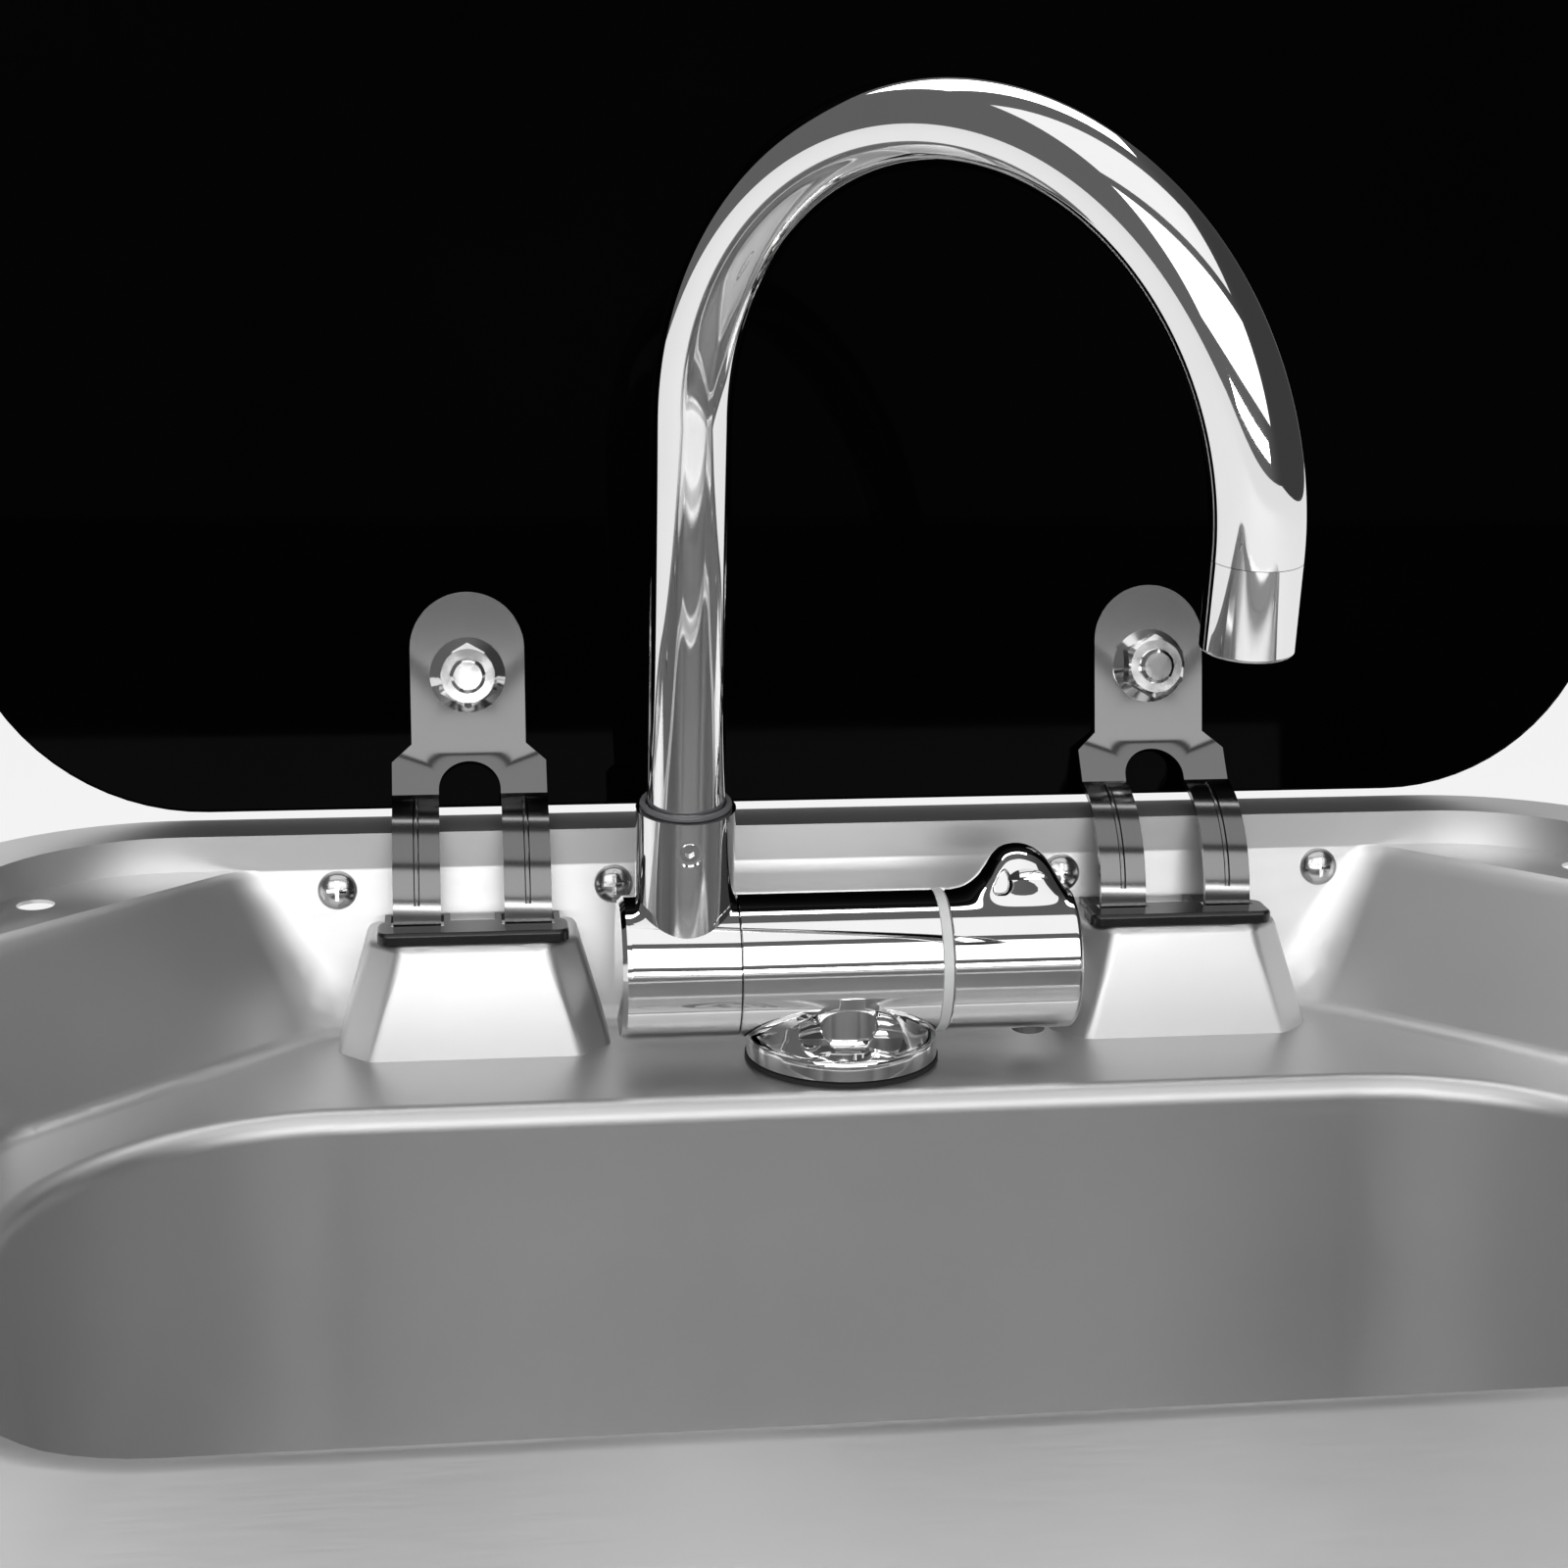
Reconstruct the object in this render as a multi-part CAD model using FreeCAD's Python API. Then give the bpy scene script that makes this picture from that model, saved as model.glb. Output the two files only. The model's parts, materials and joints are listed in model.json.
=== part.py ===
import FreeCAD, Part
import math
import os

# Drop-in RV sink with a hinged glass lid and a fold-down swivel tap.
# Millimetres, +X right, +Y back to the hinge side, +Z up.
# The origin is the centre of the worktop cut-out, in the plane of the worktop.

V = FreeCAD.Vector

# ---- pressed steel bowl -----------------------------------------------------
sheet = 0.8
sink_width = 400.0
sink_depth = 360.0
rim_width = 15.0
rim_corner = 56.0
seal_height = 1.2
rim_lip = 1.0
shelf_drop = 8.0
ledge_drop = 44.0
bowl_drop = 145.0
corner_cut = 54.0          # leg of the 45 degree corner shelf along each wall
well_draft_side = 7.0
well_draft_end = 6.0
front_deck = 55.4          # flat deck between the front wall and the well
front_roll = 16.0          # soft roll from the deck down into the well
front_vertex_inset = 46.0  # side wall to where the front edge turns
front_vertex_round = 40.0
well_cut_draft = 27.0      # how far the 45 degree wall moves in, along X, down to the ledge
well_corner = 12.0
well_foot_corner = 26.0
well_foot_round = 5.0
ledge_side = 17.0          # top of the side wall to the bowl
ledge_back = 59.5          # top of the back wall to the bowl
ledge_front = 30.1         # front edge of the well to the bowl
bowl_back_corner = 60.0
bowl_front_corner = 70.0
bowl_draft = 5.0
bowl_lip_round = 5.0
bowl_floor_round = 20.0
shelf_round = 1.6
shelf_hole_dia = 8.0
shelf_hole_inset_x = 12.5
shelf_hole_inset_y = 23.0

# ---- worktop fixings --------------------------------------------------------
screw_drop = 12.8
screw_head_dia = 8.8
screw_head_height = 2.6
screw_shank_dia = 3.9
screw_length = 15.0
screw_corner_gap = 17.0    # outer screws of the back row to the start of the corner
screw_inner_x = 52.0
screw_side_mid = 30.0
screw_side_half = 40.0
screw_shift = 4.0          # the back row sits right of the middle
screw_seat = 0.03          # heads stand this far off the wall

# ---- hinge bosses and guides ------------------------------------------------
hinge_spacing = 160.0
boss_drop = 20.0
boss_top_width = 46.0
boss_foot_width = 60.0
boss_top_reach = 22.5
boss_foot_reach = 28.5
boss_corner_cut = 7.0
boss_round = 2.5
guide_width = 42.0
guide_front = 21.0
guide_back = 10.5
guide_height = 2.6
guide_lobe_back = 2.4
guide_round = 1.8
slot_side_gap = 0.6
slot_front = 15.1
slot_back = 3.6

# ---- glass lid and hinge arms -----------------------------------------------
lid_width = 390.0
lid_depth = 320.0
glass = 5.0
lid_corner = 56.0
lid_gap = 2.6              # closed lid above the rim
lid_angle = 100.0          # open lid leans 10 degrees past upright
axis_reach = 2.4           # lid axis in front of the back wall
axis_drop = 12.2           # lid axis below the rim
lid_rear_reach = 19.2      # rear edge of the closed lid in front of the back wall
arc_reach = -1.5           # centre of the leg arcs behind the back wall, lid closed
arc_radius = 25.7
arm_sheet = 1.5
arc_start = 198.0
arc_end = 284.0
arm_plate_width = 26.0
arm_leg_span = 35.0
arm_leg_width = 10.5
arm_fold = 14.5            # fold line from the rear edge of the glass
arm_tip = 49.5
arm_shoulder = 4.5
arm_notch_top = 4.5
stud_reach = 30.5
stud_dia = 8.0
pad = 0.8
nut_flange_dia = 17.2
nut_flange = 1.4
nut_flats = 13.0
nut_height = 7.2
stud_proud = 1.6
stud_head_dia = 22.0
stud_head = 2.4
bumper_dia = 8.0
bumper_gap = 0.2
bumper_x = 120.0
bumper_inset = 4.7

# ---- tap --------------------------------------------------------------------
tap_inset = 33.5
tap_flange_dia = 42.0
tap_flange = 4.6
tap_gasket = 1.0
tap_hole_dia = 35.0
barrel_dia = 31.4
barrel_height = 21.6       # barrel axis above the ledge
seam_x = -23.6
washer_x = 19.7
washer_width = 2.2
barrel_left = -49.0
barrel_right = 50.4
seam_gap = 0.3
neck_top_dia = 27.0
neck_foot_dia = 37.0
scoop_radius = 14.5         # carved hollows in front of and behind the neck
scoop_reach = 21.0
scoop_height = 10.2
shank_dia = 33.0
shank_length = 48.0
shank_bore = 24.0
backnut_flats = 41.0
backnut_height = 8.0
clamp_washer_dia = 46.0
clamp_washer = 2.5
soft_washer = 2.0
nipple_dia = 9.4
nipple_length = 51.0
nipple_tail_dia = 8.0
nipple_tail = 17.0
nipple_spacing = 14.0

spout_x = -35.0
collar_dia = 21.3
collar_height = 37.5
spout_dia = 16.5
spout_wall = 1.2
spout_straight = 121.0
spout_bend = 65.2
aerator_length = 16.4
spout_lean = 8.0           # open stop of the fold, forward of upright
spout_turn = 48.0          # rest position of the arch, forward of the barrel line
spout_foot = 30.0          # tube in the collar, below its mouth
collar_ring = 1.6
grub_height = 31.0
grub_dia = 4.0
spindle_dia = 14.0
spindle_reach = 16.0
spindle_play = 0.05
end_cap = 2.0

tab_radius = 24.5
tab_width = 13.0
tab_thickness = 4.2
cartridge_dia = 24.0
cartridge_reach = 14.0
cartridge_rise = 3.0       # into the handle
stem_length = 10.0
stem_dia = 8.0
stem_gap = 0.1
index_dia = 7.6
index_proud = 1.2

# ---- waste ------------------------------------------------------------------
waste_hole_dia = 52.0
waste_flange_dia = 70.0
waste_dish = 6.0
waste_cup_dia = 50.0
waste_cup_height = 26.0
waste_tail_dia = 25.0
waste_tail = 34.0
cup_boss_dia = 10.0
cup_boss_height = 16.0
waste_hole_count = 12
strainer_hole_dia = 3.6
strainer_hole_reach = 13.0

# ---- levels and places worked out from the sizes ----------------------------
rim_top = seal_height + sheet
shelf_z = rim_top - shelf_drop
ledge_z = rim_top - ledge_drop
floor_z = rim_top - bowl_drop
wall_x = sink_width / 2 - rim_width
wall_y = sink_depth / 2 - rim_width
well_front = front_deck - wall_y
front_vertex_x = wall_x - front_vertex_inset
front_sum = front_vertex_x - well_front
bowl_half_width = wall_x - ledge_side
bowl_back = wall_y - ledge_back
bowl_front = well_front + ledge_front
tap_y = wall_y - tap_inset
waste_y = (bowl_front + bowl_back) / 2
screw_outer_x = wall_x - corner_cut - screw_corner_gap
wall_corner = rim_corner - rim_width
boss_z = rim_top - boss_drop
barrel_z = ledge_z + barrel_height
barrel_r = barrel_dia / 2
lid_axis = V(0, wall_y - axis_reach, rim_top - axis_drop)
glass_z = rim_top + lid_gap
lid_rear = wall_y - lid_rear_reach
arc_centre = V(0, wall_y - arc_reach, glass_z)
flange_top = ledge_z + tap_gasket + tap_flange


def polygon(points, radii, z):
    """Closed wire through the points, each corner rounded by its radius."""
    count = len(points)
    starts, ends, mids = [], [], []
    for i in range(count):
        p = V(points[i][0], points[i][1], z)
        a = V(points[i - 1][0], points[i - 1][1], z) - p
        b = V(points[(i + 1) % count][0], points[(i + 1) % count][1], z) - p
        a.normalize()
        b.normalize()
        half = a.getAngle(b) / 2
        run = radii[i] / math.tan(half)
        bisector = a + b
        bisector.normalize()
        starts.append(p + a * run)
        ends.append(p + b * run)
        mids.append(p + bisector * (radii[i] / math.sin(half) - radii[i]))
    edges = []
    for i in range(count):
        if radii[i] > 0:
            edges.append(Part.Arc(starts[i], mids[i], ends[i]).toShape())
        following = starts[(i + 1) % count]
        if (following - ends[i]).Length > 1e-6:
            edges.append(Part.LineSegment(ends[i], following).toShape())
    return Part.Wire(edges)


def rectangle(half_x, half_y, corner, z, centre_y=0.0):
    """Rounded rectangle as a wire."""
    points = [(-half_x, centre_y - half_y), (half_x, centre_y - half_y),
              (half_x, centre_y + half_y), (-half_x, centre_y + half_y)]
    return polygon(points, [corner] * 4, z)


def prism(wire, height):
    """Straight solid over a wire."""
    return Part.Face(wire).extrude(V(0, 0, height))


def loft(low, high):
    """Ruled solid between two wires."""
    return Part.makeLoft([low, high], True, True)


def disc(dia, height, x, y, z, direction=V(0, 0, 1)):
    """Cylinder with its foot at a point."""
    return Part.makeCylinder(dia / 2, height, V(x, y, z), direction)


def ring(outer, inner, height, x, y, z, direction=V(0, 0, 1)):
    """Washer with its foot at a point."""
    return disc(outer, height, x, y, z, direction).cut(disc(inner, height, x, y, z, direction))


def hexagon(flats, height, x, y, z):
    """Upright hexagonal prism."""
    points = []
    for i in range(6):
        angle = math.radians(60 * i + 30)
        reach = flats / math.sqrt(3)
        points.append(V(x + reach * math.cos(angle), y + reach * math.sin(angle), z))
    points.append(points[0])
    return Part.Face(Part.makePolygon(points)).extrude(V(0, 0, height))


def box(x0, x1, y0, y1, z0, z1):
    """Box between two corners."""
    return Part.makeBox(x1 - x0, y1 - y0, z1 - z0, V(x0, y0, z0))


def turned(profile, origin, axis):
    """Solid of revolution of (radius, height) points about an axis from the origin."""
    points = [V(r, 0, h) for r, h in profile]
    points.append(points[0])
    shape = Part.Face(Part.makePolygon(points)).revolve(V(0, 0, 0), V(0, 0, 1), 360)
    shape.Placement = FreeCAD.Placement(origin, FreeCAD.Rotation(V(0, 0, 1), axis))
    return shape


def fuse(shapes):
    """One tidy solid from touching solids."""
    return shapes[0].multiFuse(shapes[1:]).removeSplitter()


def group(shapes):
    """Several separate solids in one piece of the list."""
    return Part.makeCompound(shapes)


def edges_at(shape, z, closed_length=0.0):
    """Edges that lie in one level plane."""
    found = []
    for edge in shape.Edges:
        bounds = edge.BoundBox
        if abs(bounds.ZMin - z) < 1e-4 and abs(bounds.ZMax - z) < 1e-4 and edge.Length > closed_length:
            found.append(edge)
    return found


# ---- bowl -------------------------------------------------------------------
def boss_mass(side, inset=0.0):
    """Outer form of one hinge boss, or its hollow when inset by the sheet."""
    x = side * hinge_spacing / 2
    back = wall_y + 6.0
    wires = []
    levels = ((ledge_z - inset - 3.0 * (inset > 0), boss_foot_width, boss_foot_reach),
              (boss_z - inset, boss_top_width, boss_top_reach))
    for z, width, reach in levels:
        half = width / 2 - inset
        front = wall_y - reach + inset
        cut = boss_corner_cut
        points = [(x - half, back), (x - half, front + cut), (x - half + cut, front),
                  (x + half - cut, front), (x + half, front + cut), (x + half, back)]
        wires.append(polygon(points, [0, 4.0, 4.0, 4.0, 4.0, 0], z))
    body = loft(wires[0], wires[1])
    return body.makeFillet(boss_round - inset, edges_at(body, boss_z - inset))


def bowl_wire(grow, z):
    """Outline of the bowl opening, large corners at the back."""
    hx = bowl_half_width + grow
    points = [(-hx, bowl_front - grow), (hx, bowl_front - grow),
              (hx, bowl_back + grow), (-hx, bowl_back + grow)]
    front_corner = bowl_front_corner + grow
    back_corner = bowl_back_corner + grow
    return polygon(points, [front_corner, front_corner, back_corner, back_corner], z)


def well_wire(share, grow, z, ease=0.0, roll=0.0):
    """Outline of the well, from 0 at the deck to 1 at the ledge, all its corners cut at 45 degrees.

    ease opens the back and sides, roll closes the front, both against the straight walls.
    """
    side = wall_x - well_draft_side * share + grow
    back = wall_y - well_draft_end * share + grow
    front = well_front + roll - grow
    back_sum = wall_x + wall_y - corner_cut - well_cut_draft * share + ease + grow * math.sqrt(2)
    fore_sum = front_sum + (grow - roll) * math.sqrt(2)
    corner = well_corner + (well_foot_corner - well_corner) * share + grow
    fore_corner = front_vertex_round + grow - roll
    points = [(-fore_sum - front, front), (fore_sum + front, front), (side, side - fore_sum),
              (side, back_sum - side), (back_sum - back, back), (back - back_sum, back),
              (-side, back_sum - side), (-side, side - fore_sum)]
    return polygon(points, [fore_corner, fore_corner] + [corner] * 6, z)


def well_sections(grow):
    """Outlines of the well from the deck down to the ledge; the front follows its roll."""
    wires = [well_wire(0.0, grow, shelf_z, shelf_round)]
    for drop in (0.03 * front_roll, shelf_round, 0.25 * front_roll, 0.5 * front_roll, front_roll):
        roll = math.sqrt(front_roll ** 2 - (front_roll - drop) ** 2)
        share = drop / (ledge_drop - shelf_drop)
        wires.append(well_wire(share, grow, shelf_z - drop, max(0.0, shelf_round - drop), roll))
    wires.append(well_wire(1.0, grow, ledge_z - grow, 0.0, front_roll + well_draft_end / 2))
    return wires


def lip_edge(edge, grow):
    """True for an edge of the bowl's mouth, which lies inside the foot of the well."""
    bounds = edge.BoundBox
    reach = bowl_half_width + grow + 0.1
    return (max(abs(bounds.XMin), abs(bounds.XMax)) < reach and bounds.YMax < bowl_back + grow + 0.1
            and bounds.YMin > bowl_front - grow - 0.1)


def sink_space(grow):
    """Everything inside the bowl's skin, grown by the sheet for the outer skin."""
    rim = prism(rectangle(wall_x + grow, wall_y + grow, wall_corner + grow, shelf_z - grow),
                shelf_drop + grow + 1.0 * (grow == 0))
    wires = well_sections(grow)
    well = loft(wires[-1], wires[-2])
    well = well.makeFillet(well_foot_round + grow, edges_at(well, ledge_z - grow))
    slices = [loft(wires[i + 1], wires[i]) for i in range(len(wires) - 2)]
    bowl = loft(bowl_wire(grow - bowl_draft, floor_z - grow), bowl_wire(grow, ledge_z - grow))
    bowl = bowl.makeFillet(bowl_floor_round + grow, edges_at(bowl, floor_z - grow))
    lower = well.fuse(bowl).removeSplitter()
    lip = [edge for edge in edges_at(lower, ledge_z - grow) if lip_edge(edge, grow)]
    lower = lower.makeFillet(bowl_lip_round - grow, lip)
    return rim.fuse(slices + [lower]).removeSplitter()


def fixing_points():
    """Foot on the drafted wall and outward square to it, for each wall screw."""
    drop = screw_drop - shelf_drop
    rise = ledge_drop - shelf_drop
    z = rim_top - screw_drop
    outward = V(0, rise, -well_draft_end)
    outward.normalize()
    y = wall_y - well_draft_end * drop / rise
    points = [(V(x + screw_shift, y, z), outward)
              for x in (-screw_outer_x, -screw_inner_x, screw_inner_x, screw_outer_x)]
    for sign in (1, -1):
        outward = V(sign * rise, 0, -well_draft_side)
        outward.normalize()
        x = sign * (wall_x - well_draft_side * drop / rise)
        for y in (screw_side_mid - screw_side_half, screw_side_mid + screw_side_half):
            points.append((V(x, y, z), outward))
    return points


def slot_boxes(z0, z1, grow=0.0):
    """The four passages of the hinge legs, through the guides and the bosses."""
    shapes = []
    for side in (-1, 1):
        for leg in (-1, 1):
            x = side * hinge_spacing / 2 + leg * (arm_leg_span - arm_leg_width) / 2
            half = arm_leg_width / 2 + slot_side_gap + grow
            shapes.append(box(x - half, x + half, wall_y - slot_front - grow,
                              wall_y - slot_back + grow, z0, z1))
    return shapes


def sink_bowl():
    """The pressed bowl: rim, corner shelves, tap ledge, hinge bosses and bowl."""
    flange = prism(rectangle(sink_width / 2, sink_depth / 2, rim_corner, seal_height), sheet)
    lip = prism(rectangle(sink_width / 2, sink_depth / 2, rim_corner, seal_height - rim_lip), rim_lip)
    lip = lip.cut(prism(rectangle(sink_width / 2 - sheet, sink_depth / 2 - sheet,
                                  rim_corner - sheet, seal_height - rim_lip), rim_lip))
    outer = sink_space(sheet)
    inner = sink_space(0.0)
    for side in (-1, 1):
        outer = outer.cut(boss_mass(side, sheet))
        inner = inner.cut(boss_mass(side))
    shell = outer.fuse([flange, lip]).cut(inner)
    cuts = slot_boxes(boss_z - sheet - 1, boss_z + 1)
    cuts.append(disc(tap_hole_dia, 3 * sheet, 0, tap_y, ledge_z - 2 * sheet))
    cuts.append(disc(waste_hole_dia, 3 * sheet, 0, waste_y, floor_z - 2 * sheet))
    for foot, outward in fixing_points():
        cuts.append(Part.makeCylinder(screw_shank_dia / 2, 12.0, foot - outward * 6.0, outward))
    for sx in (-1, 1):
        for sy in (-1, 1):
            cuts.append(disc(shelf_hole_dia, 3 * sheet, sx * (wall_x - shelf_hole_inset_x),
                             sy * (wall_y - shelf_hole_inset_y), shelf_z - 2 * sheet))
    return shell.cut(cuts).removeSplitter()


def rim_seal():
    """Foam bead between the rim and the worktop."""
    inset = sheet + 0.6
    outer = rectangle(sink_width / 2 - inset, sink_depth / 2 - inset, rim_corner - inset, 0)
    inner = rectangle(sink_width / 2 - inset - 5.0, sink_depth / 2 - inset - 5.0,
                      rim_corner - inset - 5.0, 0)
    return prism(outer, seal_height).cut(prism(inner, seal_height))


def fixing_screws():
    """Pan-head cross-recess screws through the walls into the worktop edge."""
    screws = []
    radius = screw_head_dia / 2
    shank = screw_shank_dia / 2 - 0.05
    for foot, outward in fixing_points():
        profile = [(0, 0), (radius, 0), (radius, -0.6), (0.82 * radius, -1.8),
                   (0.45 * radius, -screw_head_height), (0, -screw_head_height)]
        foot = foot - outward * screw_seat
        head = turned(profile, foot, outward)
        point = [(0, 0), (shank, 0), (shank, screw_length - 4.0), (0, screw_length)]
        screw = head.fuse(turned(point, foot, outward))
        side = outward.cross(V(0, 0, 1))
        side.normalize()
        rise = side.cross(outward)
        for along, across in ((side, rise), (rise, side)):
            corner = foot - outward * (screw_head_height + 1) - along * 2.1 - across * 0.45
            face = Part.Face(Part.makePolygon([corner, corner + along * 4.2, corner + along * 4.2
                                               + across * 0.9, corner + across * 0.9, corner]))
            screw = screw.cut(face.extrude(outward * 2.4))
        screws.append(screw)
    return group(screws)


# ---- hinge guides -----------------------------------------------------------
def hinge_guide(side):
    """Black moulded guide on a boss, with a slot and a rear lobe for each leg."""
    x = side * hinge_spacing / 2
    depth = guide_front - guide_back
    centre = wall_y - (guide_front + guide_back) / 2
    body = Part.Face(rectangle(guide_width / 2, depth / 2, guide_round * 1.4, boss_z, centre))
    body = body.translated(V(x, 0, 0)).extrude(V(0, 0, guide_height))
    body = body.makeFillet(0.9, edges_at(body, boss_z + guide_height))
    lobe_half = arm_leg_width / 2 + 2.0
    for leg in (-1, 1):
        leg_x = x + leg * (arm_leg_span - arm_leg_width) / 2
        body = body.fuse(box(leg_x - lobe_half, leg_x + lobe_half, wall_y - guide_back - 2.0,
                             wall_y - guide_lobe_back, boss_z, boss_z + guide_height - 1.0))
    body = body.cut(slot_boxes(boss_z - 1, boss_z + guide_height + 1))
    return body.removeSplitter()


# ---- lid: drawn closed, then swung open about its axis ----------------------
def opened(shape):
    """Swing a piece of the closed lid to the open rest position."""
    swung = shape.copy()
    swung.rotate(lid_axis, V(1, 0, 0), -lid_angle)
    return swung


def lid_glass():
    """Tempered glass plate with two stud holes and ground edges."""
    centre = lid_rear - lid_depth / 2
    plate = prism(rectangle(lid_width / 2, lid_depth / 2, lid_corner, glass_z, centre), glass)
    plate = plate.makeChamfer(0.6, edges_at(plate, glass_z) + edges_at(plate, glass_z + glass))
    for side in (-1, 1):
        plate = plate.cut(disc(stud_dia + 0.6, glass, side * hinge_spacing / 2,
                               lid_rear - stud_reach, glass_z))
    return opened(plate)


def arm_outline(x, y0, y1, z, inset=0.0):
    """Plate of the arm from the fold to its round tip, seen from above."""
    half = arm_plate_width / 2 - inset
    tip = y0 + inset + half
    side = [V(x - half, y1, z), V(x - half, tip, z), V(x, y0 + inset, z), V(x + half, tip, z),
            V(x + half, y1, z)]
    edges = [Part.LineSegment(side[0], side[1]).toShape(),
             Part.Arc(side[1], side[2], side[3]).toShape(),
             Part.LineSegment(side[3], side[4]).toShape(),
             Part.LineSegment(side[4], side[0]).toShape()]
    return Part.Wire(edges)


def hinge_arm(side):
    """Forked hinge arm: plate, splayed shoulder and two curved legs."""
    x = side * hinge_spacing / 2
    top = glass_z - pad
    fold_y = lid_rear - arm_fold
    plate = prism(arm_outline(x, lid_rear - arm_tip, fold_y, top - arm_sheet), arm_sheet)
    start = math.radians(arc_start)
    middle = arc_radius - arm_sheet / 2
    bend_a = V(x, fold_y, top - arm_sheet / 2)
    bend_b = V(x, arc_centre.y + middle * math.cos(start), arc_centre.z + middle * math.sin(start))
    run = bend_b - bend_a
    length = run.Length
    run.normalize()
    across = V(1, 0, 0)
    normal = across.cross(run)
    half_plate, half_leg = arm_plate_width / 2, arm_leg_span / 2
    notch = half_leg - arm_leg_width

    def at(u, w):
        return bend_a + across * u + run * w - normal * (arm_sheet / 2)

    outline = [Part.LineSegment(at(-half_plate, 0), at(half_plate, 0)),
               Part.LineSegment(at(half_plate, 0), at(half_leg, arm_shoulder)),
               Part.LineSegment(at(half_leg, arm_shoulder), at(half_leg, length)),
               Part.LineSegment(at(half_leg, length), at(notch, length)),
               Part.LineSegment(at(notch, length), at(notch, arm_notch_top + notch)),
               Part.Arc(at(notch, arm_notch_top + notch), at(0, arm_notch_top),
                        at(-notch, arm_notch_top + notch)),
               Part.LineSegment(at(-notch, arm_notch_top + notch), at(-notch, length)),
               Part.LineSegment(at(-notch, length), at(-half_leg, length)),
               Part.LineSegment(at(-half_leg, length), at(-half_leg, arm_shoulder)),
               Part.LineSegment(at(-half_leg, arm_shoulder), at(-half_plate, 0))]
    shoulder = Part.Face(Part.Wire([edge.toShape() for edge in outline])).extrude(normal * arm_sheet)
    pieces = [plate, shoulder, disc(arm_sheet, arm_plate_width, x - half_plate, bend_a.y, bend_a.z,
                                    across)]
    sweep = arc_end - arc_start
    for leg in (-1, 1):
        near = x + leg * (half_leg - arm_leg_width / 2) - arm_leg_width / 2
        profile = []
        for radius, a0, a1 in ((arc_radius, arc_start, arc_end),
                               (arc_radius - arm_sheet, arc_end, arc_start)):
            trio = [V(near, arc_centre.y + radius * math.cos(math.radians(a)),
                      arc_centre.z + radius * math.sin(math.radians(a)))
                    for a in (a0, (a0 + a1) / 2, a1)]
            profile.append((Part.Arc(*trio).toShape(), trio[0], trio[2]))
        wire = Part.Wire([profile[0][0], Part.LineSegment(profile[0][2], profile[1][1]).toShape(),
                          profile[1][0], Part.LineSegment(profile[1][2], profile[0][1]).toShape()])
        pieces.append(Part.Face(wire).extrude(V(arm_leg_width, 0, 0)))
        pieces.append(disc(arm_sheet, arm_leg_width, near, bend_b.y, bend_b.z, across))
    arm = fuse(pieces)
    arm = arm.cut(disc(stud_dia + 0.4, 4 * arm_sheet, x, lid_rear - stud_reach, top - 2 * arm_sheet))
    return opened(arm)


def hinge_pad(side):
    """Soft pad between the arm and the glass."""
    x = side * hinge_spacing / 2
    shape = prism(arm_outline(x, lid_rear - arm_tip, lid_rear - arm_fold - 1.0, glass_z - pad, 0.8), pad)
    return opened(shape.cut(disc(stud_dia + 0.4, pad, x, lid_rear - stud_reach, glass_z - pad)))


def lid_studs():
    """Flat-headed studs through the glass, chamfered where they end."""
    studs = []
    low = glass_z - pad - arm_sheet - nut_height - stud_proud
    for side in (-1, 1):
        radius, head = stud_dia / 2, stud_head_dia / 2
        top = glass_z + glass + pad
        profile = [(0, low), (radius - 0.8, low), (radius, low + 0.8), (radius, top), (head, top),
                   (head, top + stud_head - 1.0), (head - 1.0, top + stud_head), (0, top + stud_head)]
        studs.append(turned(profile, V(side * hinge_spacing / 2, lid_rear - stud_reach, 0), V(0, 0, 1)))
    return opened(group(studs))


def stud_washers():
    """Soft washers between the stud heads and the glass."""
    return opened(group([ring(stud_head_dia - 1.0, stud_dia + 0.3, pad, side * hinge_spacing / 2,
                              lid_rear - stud_reach, glass_z + glass) for side in (-1, 1)]))


def hinge_nut(side):
    """Hexagon flange nut under the arm plate."""
    x, y = side * hinge_spacing / 2, lid_rear - stud_reach
    top = glass_z - pad - arm_sheet
    radius = nut_flange_dia / 2
    cone = turned([(0, 0), (radius, 0), (radius, -0.5), (nut_flats / 2, -nut_flange - 0.9),
                   (0, -nut_flange - 0.9)], V(x, y, top), V(0, 0, 1))
    hexa = hexagon(nut_flats, nut_height, x, y, top - nut_height)
    corner = nut_flats / math.sqrt(3)
    cap = turned([(0, 0), (nut_flats / 2 - 0.4, 0), (corner + 0.2, 1.2), (corner + 0.2, nut_height),
                  (0, nut_height)], V(x, y, top - nut_height), V(0, 0, 1))
    nut = cone.fuse(hexa.common(cap)).cut(disc(stud_dia, nut_height + 1, x, y, top - nut_height - 0.5))
    return opened(nut)


def lid_bumpers():
    """Soft feet under the free edge of the glass, resting on the front rim."""
    y = lid_rear - lid_depth + bumper_inset
    height = lid_gap - bumper_gap
    return opened(group([disc(bumper_dia, height, side * bumper_x, y, glass_z - height)
                         for side in (-1, 1)]))


# ---- tap, fixed part --------------------------------------------------------
def barrel(x0, x1, dia=barrel_dia):
    """Length of the tap's horizontal barrel."""
    return disc(dia, x1 - x0, x0, tap_y, barrel_z, V(1, 0, 0))


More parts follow.
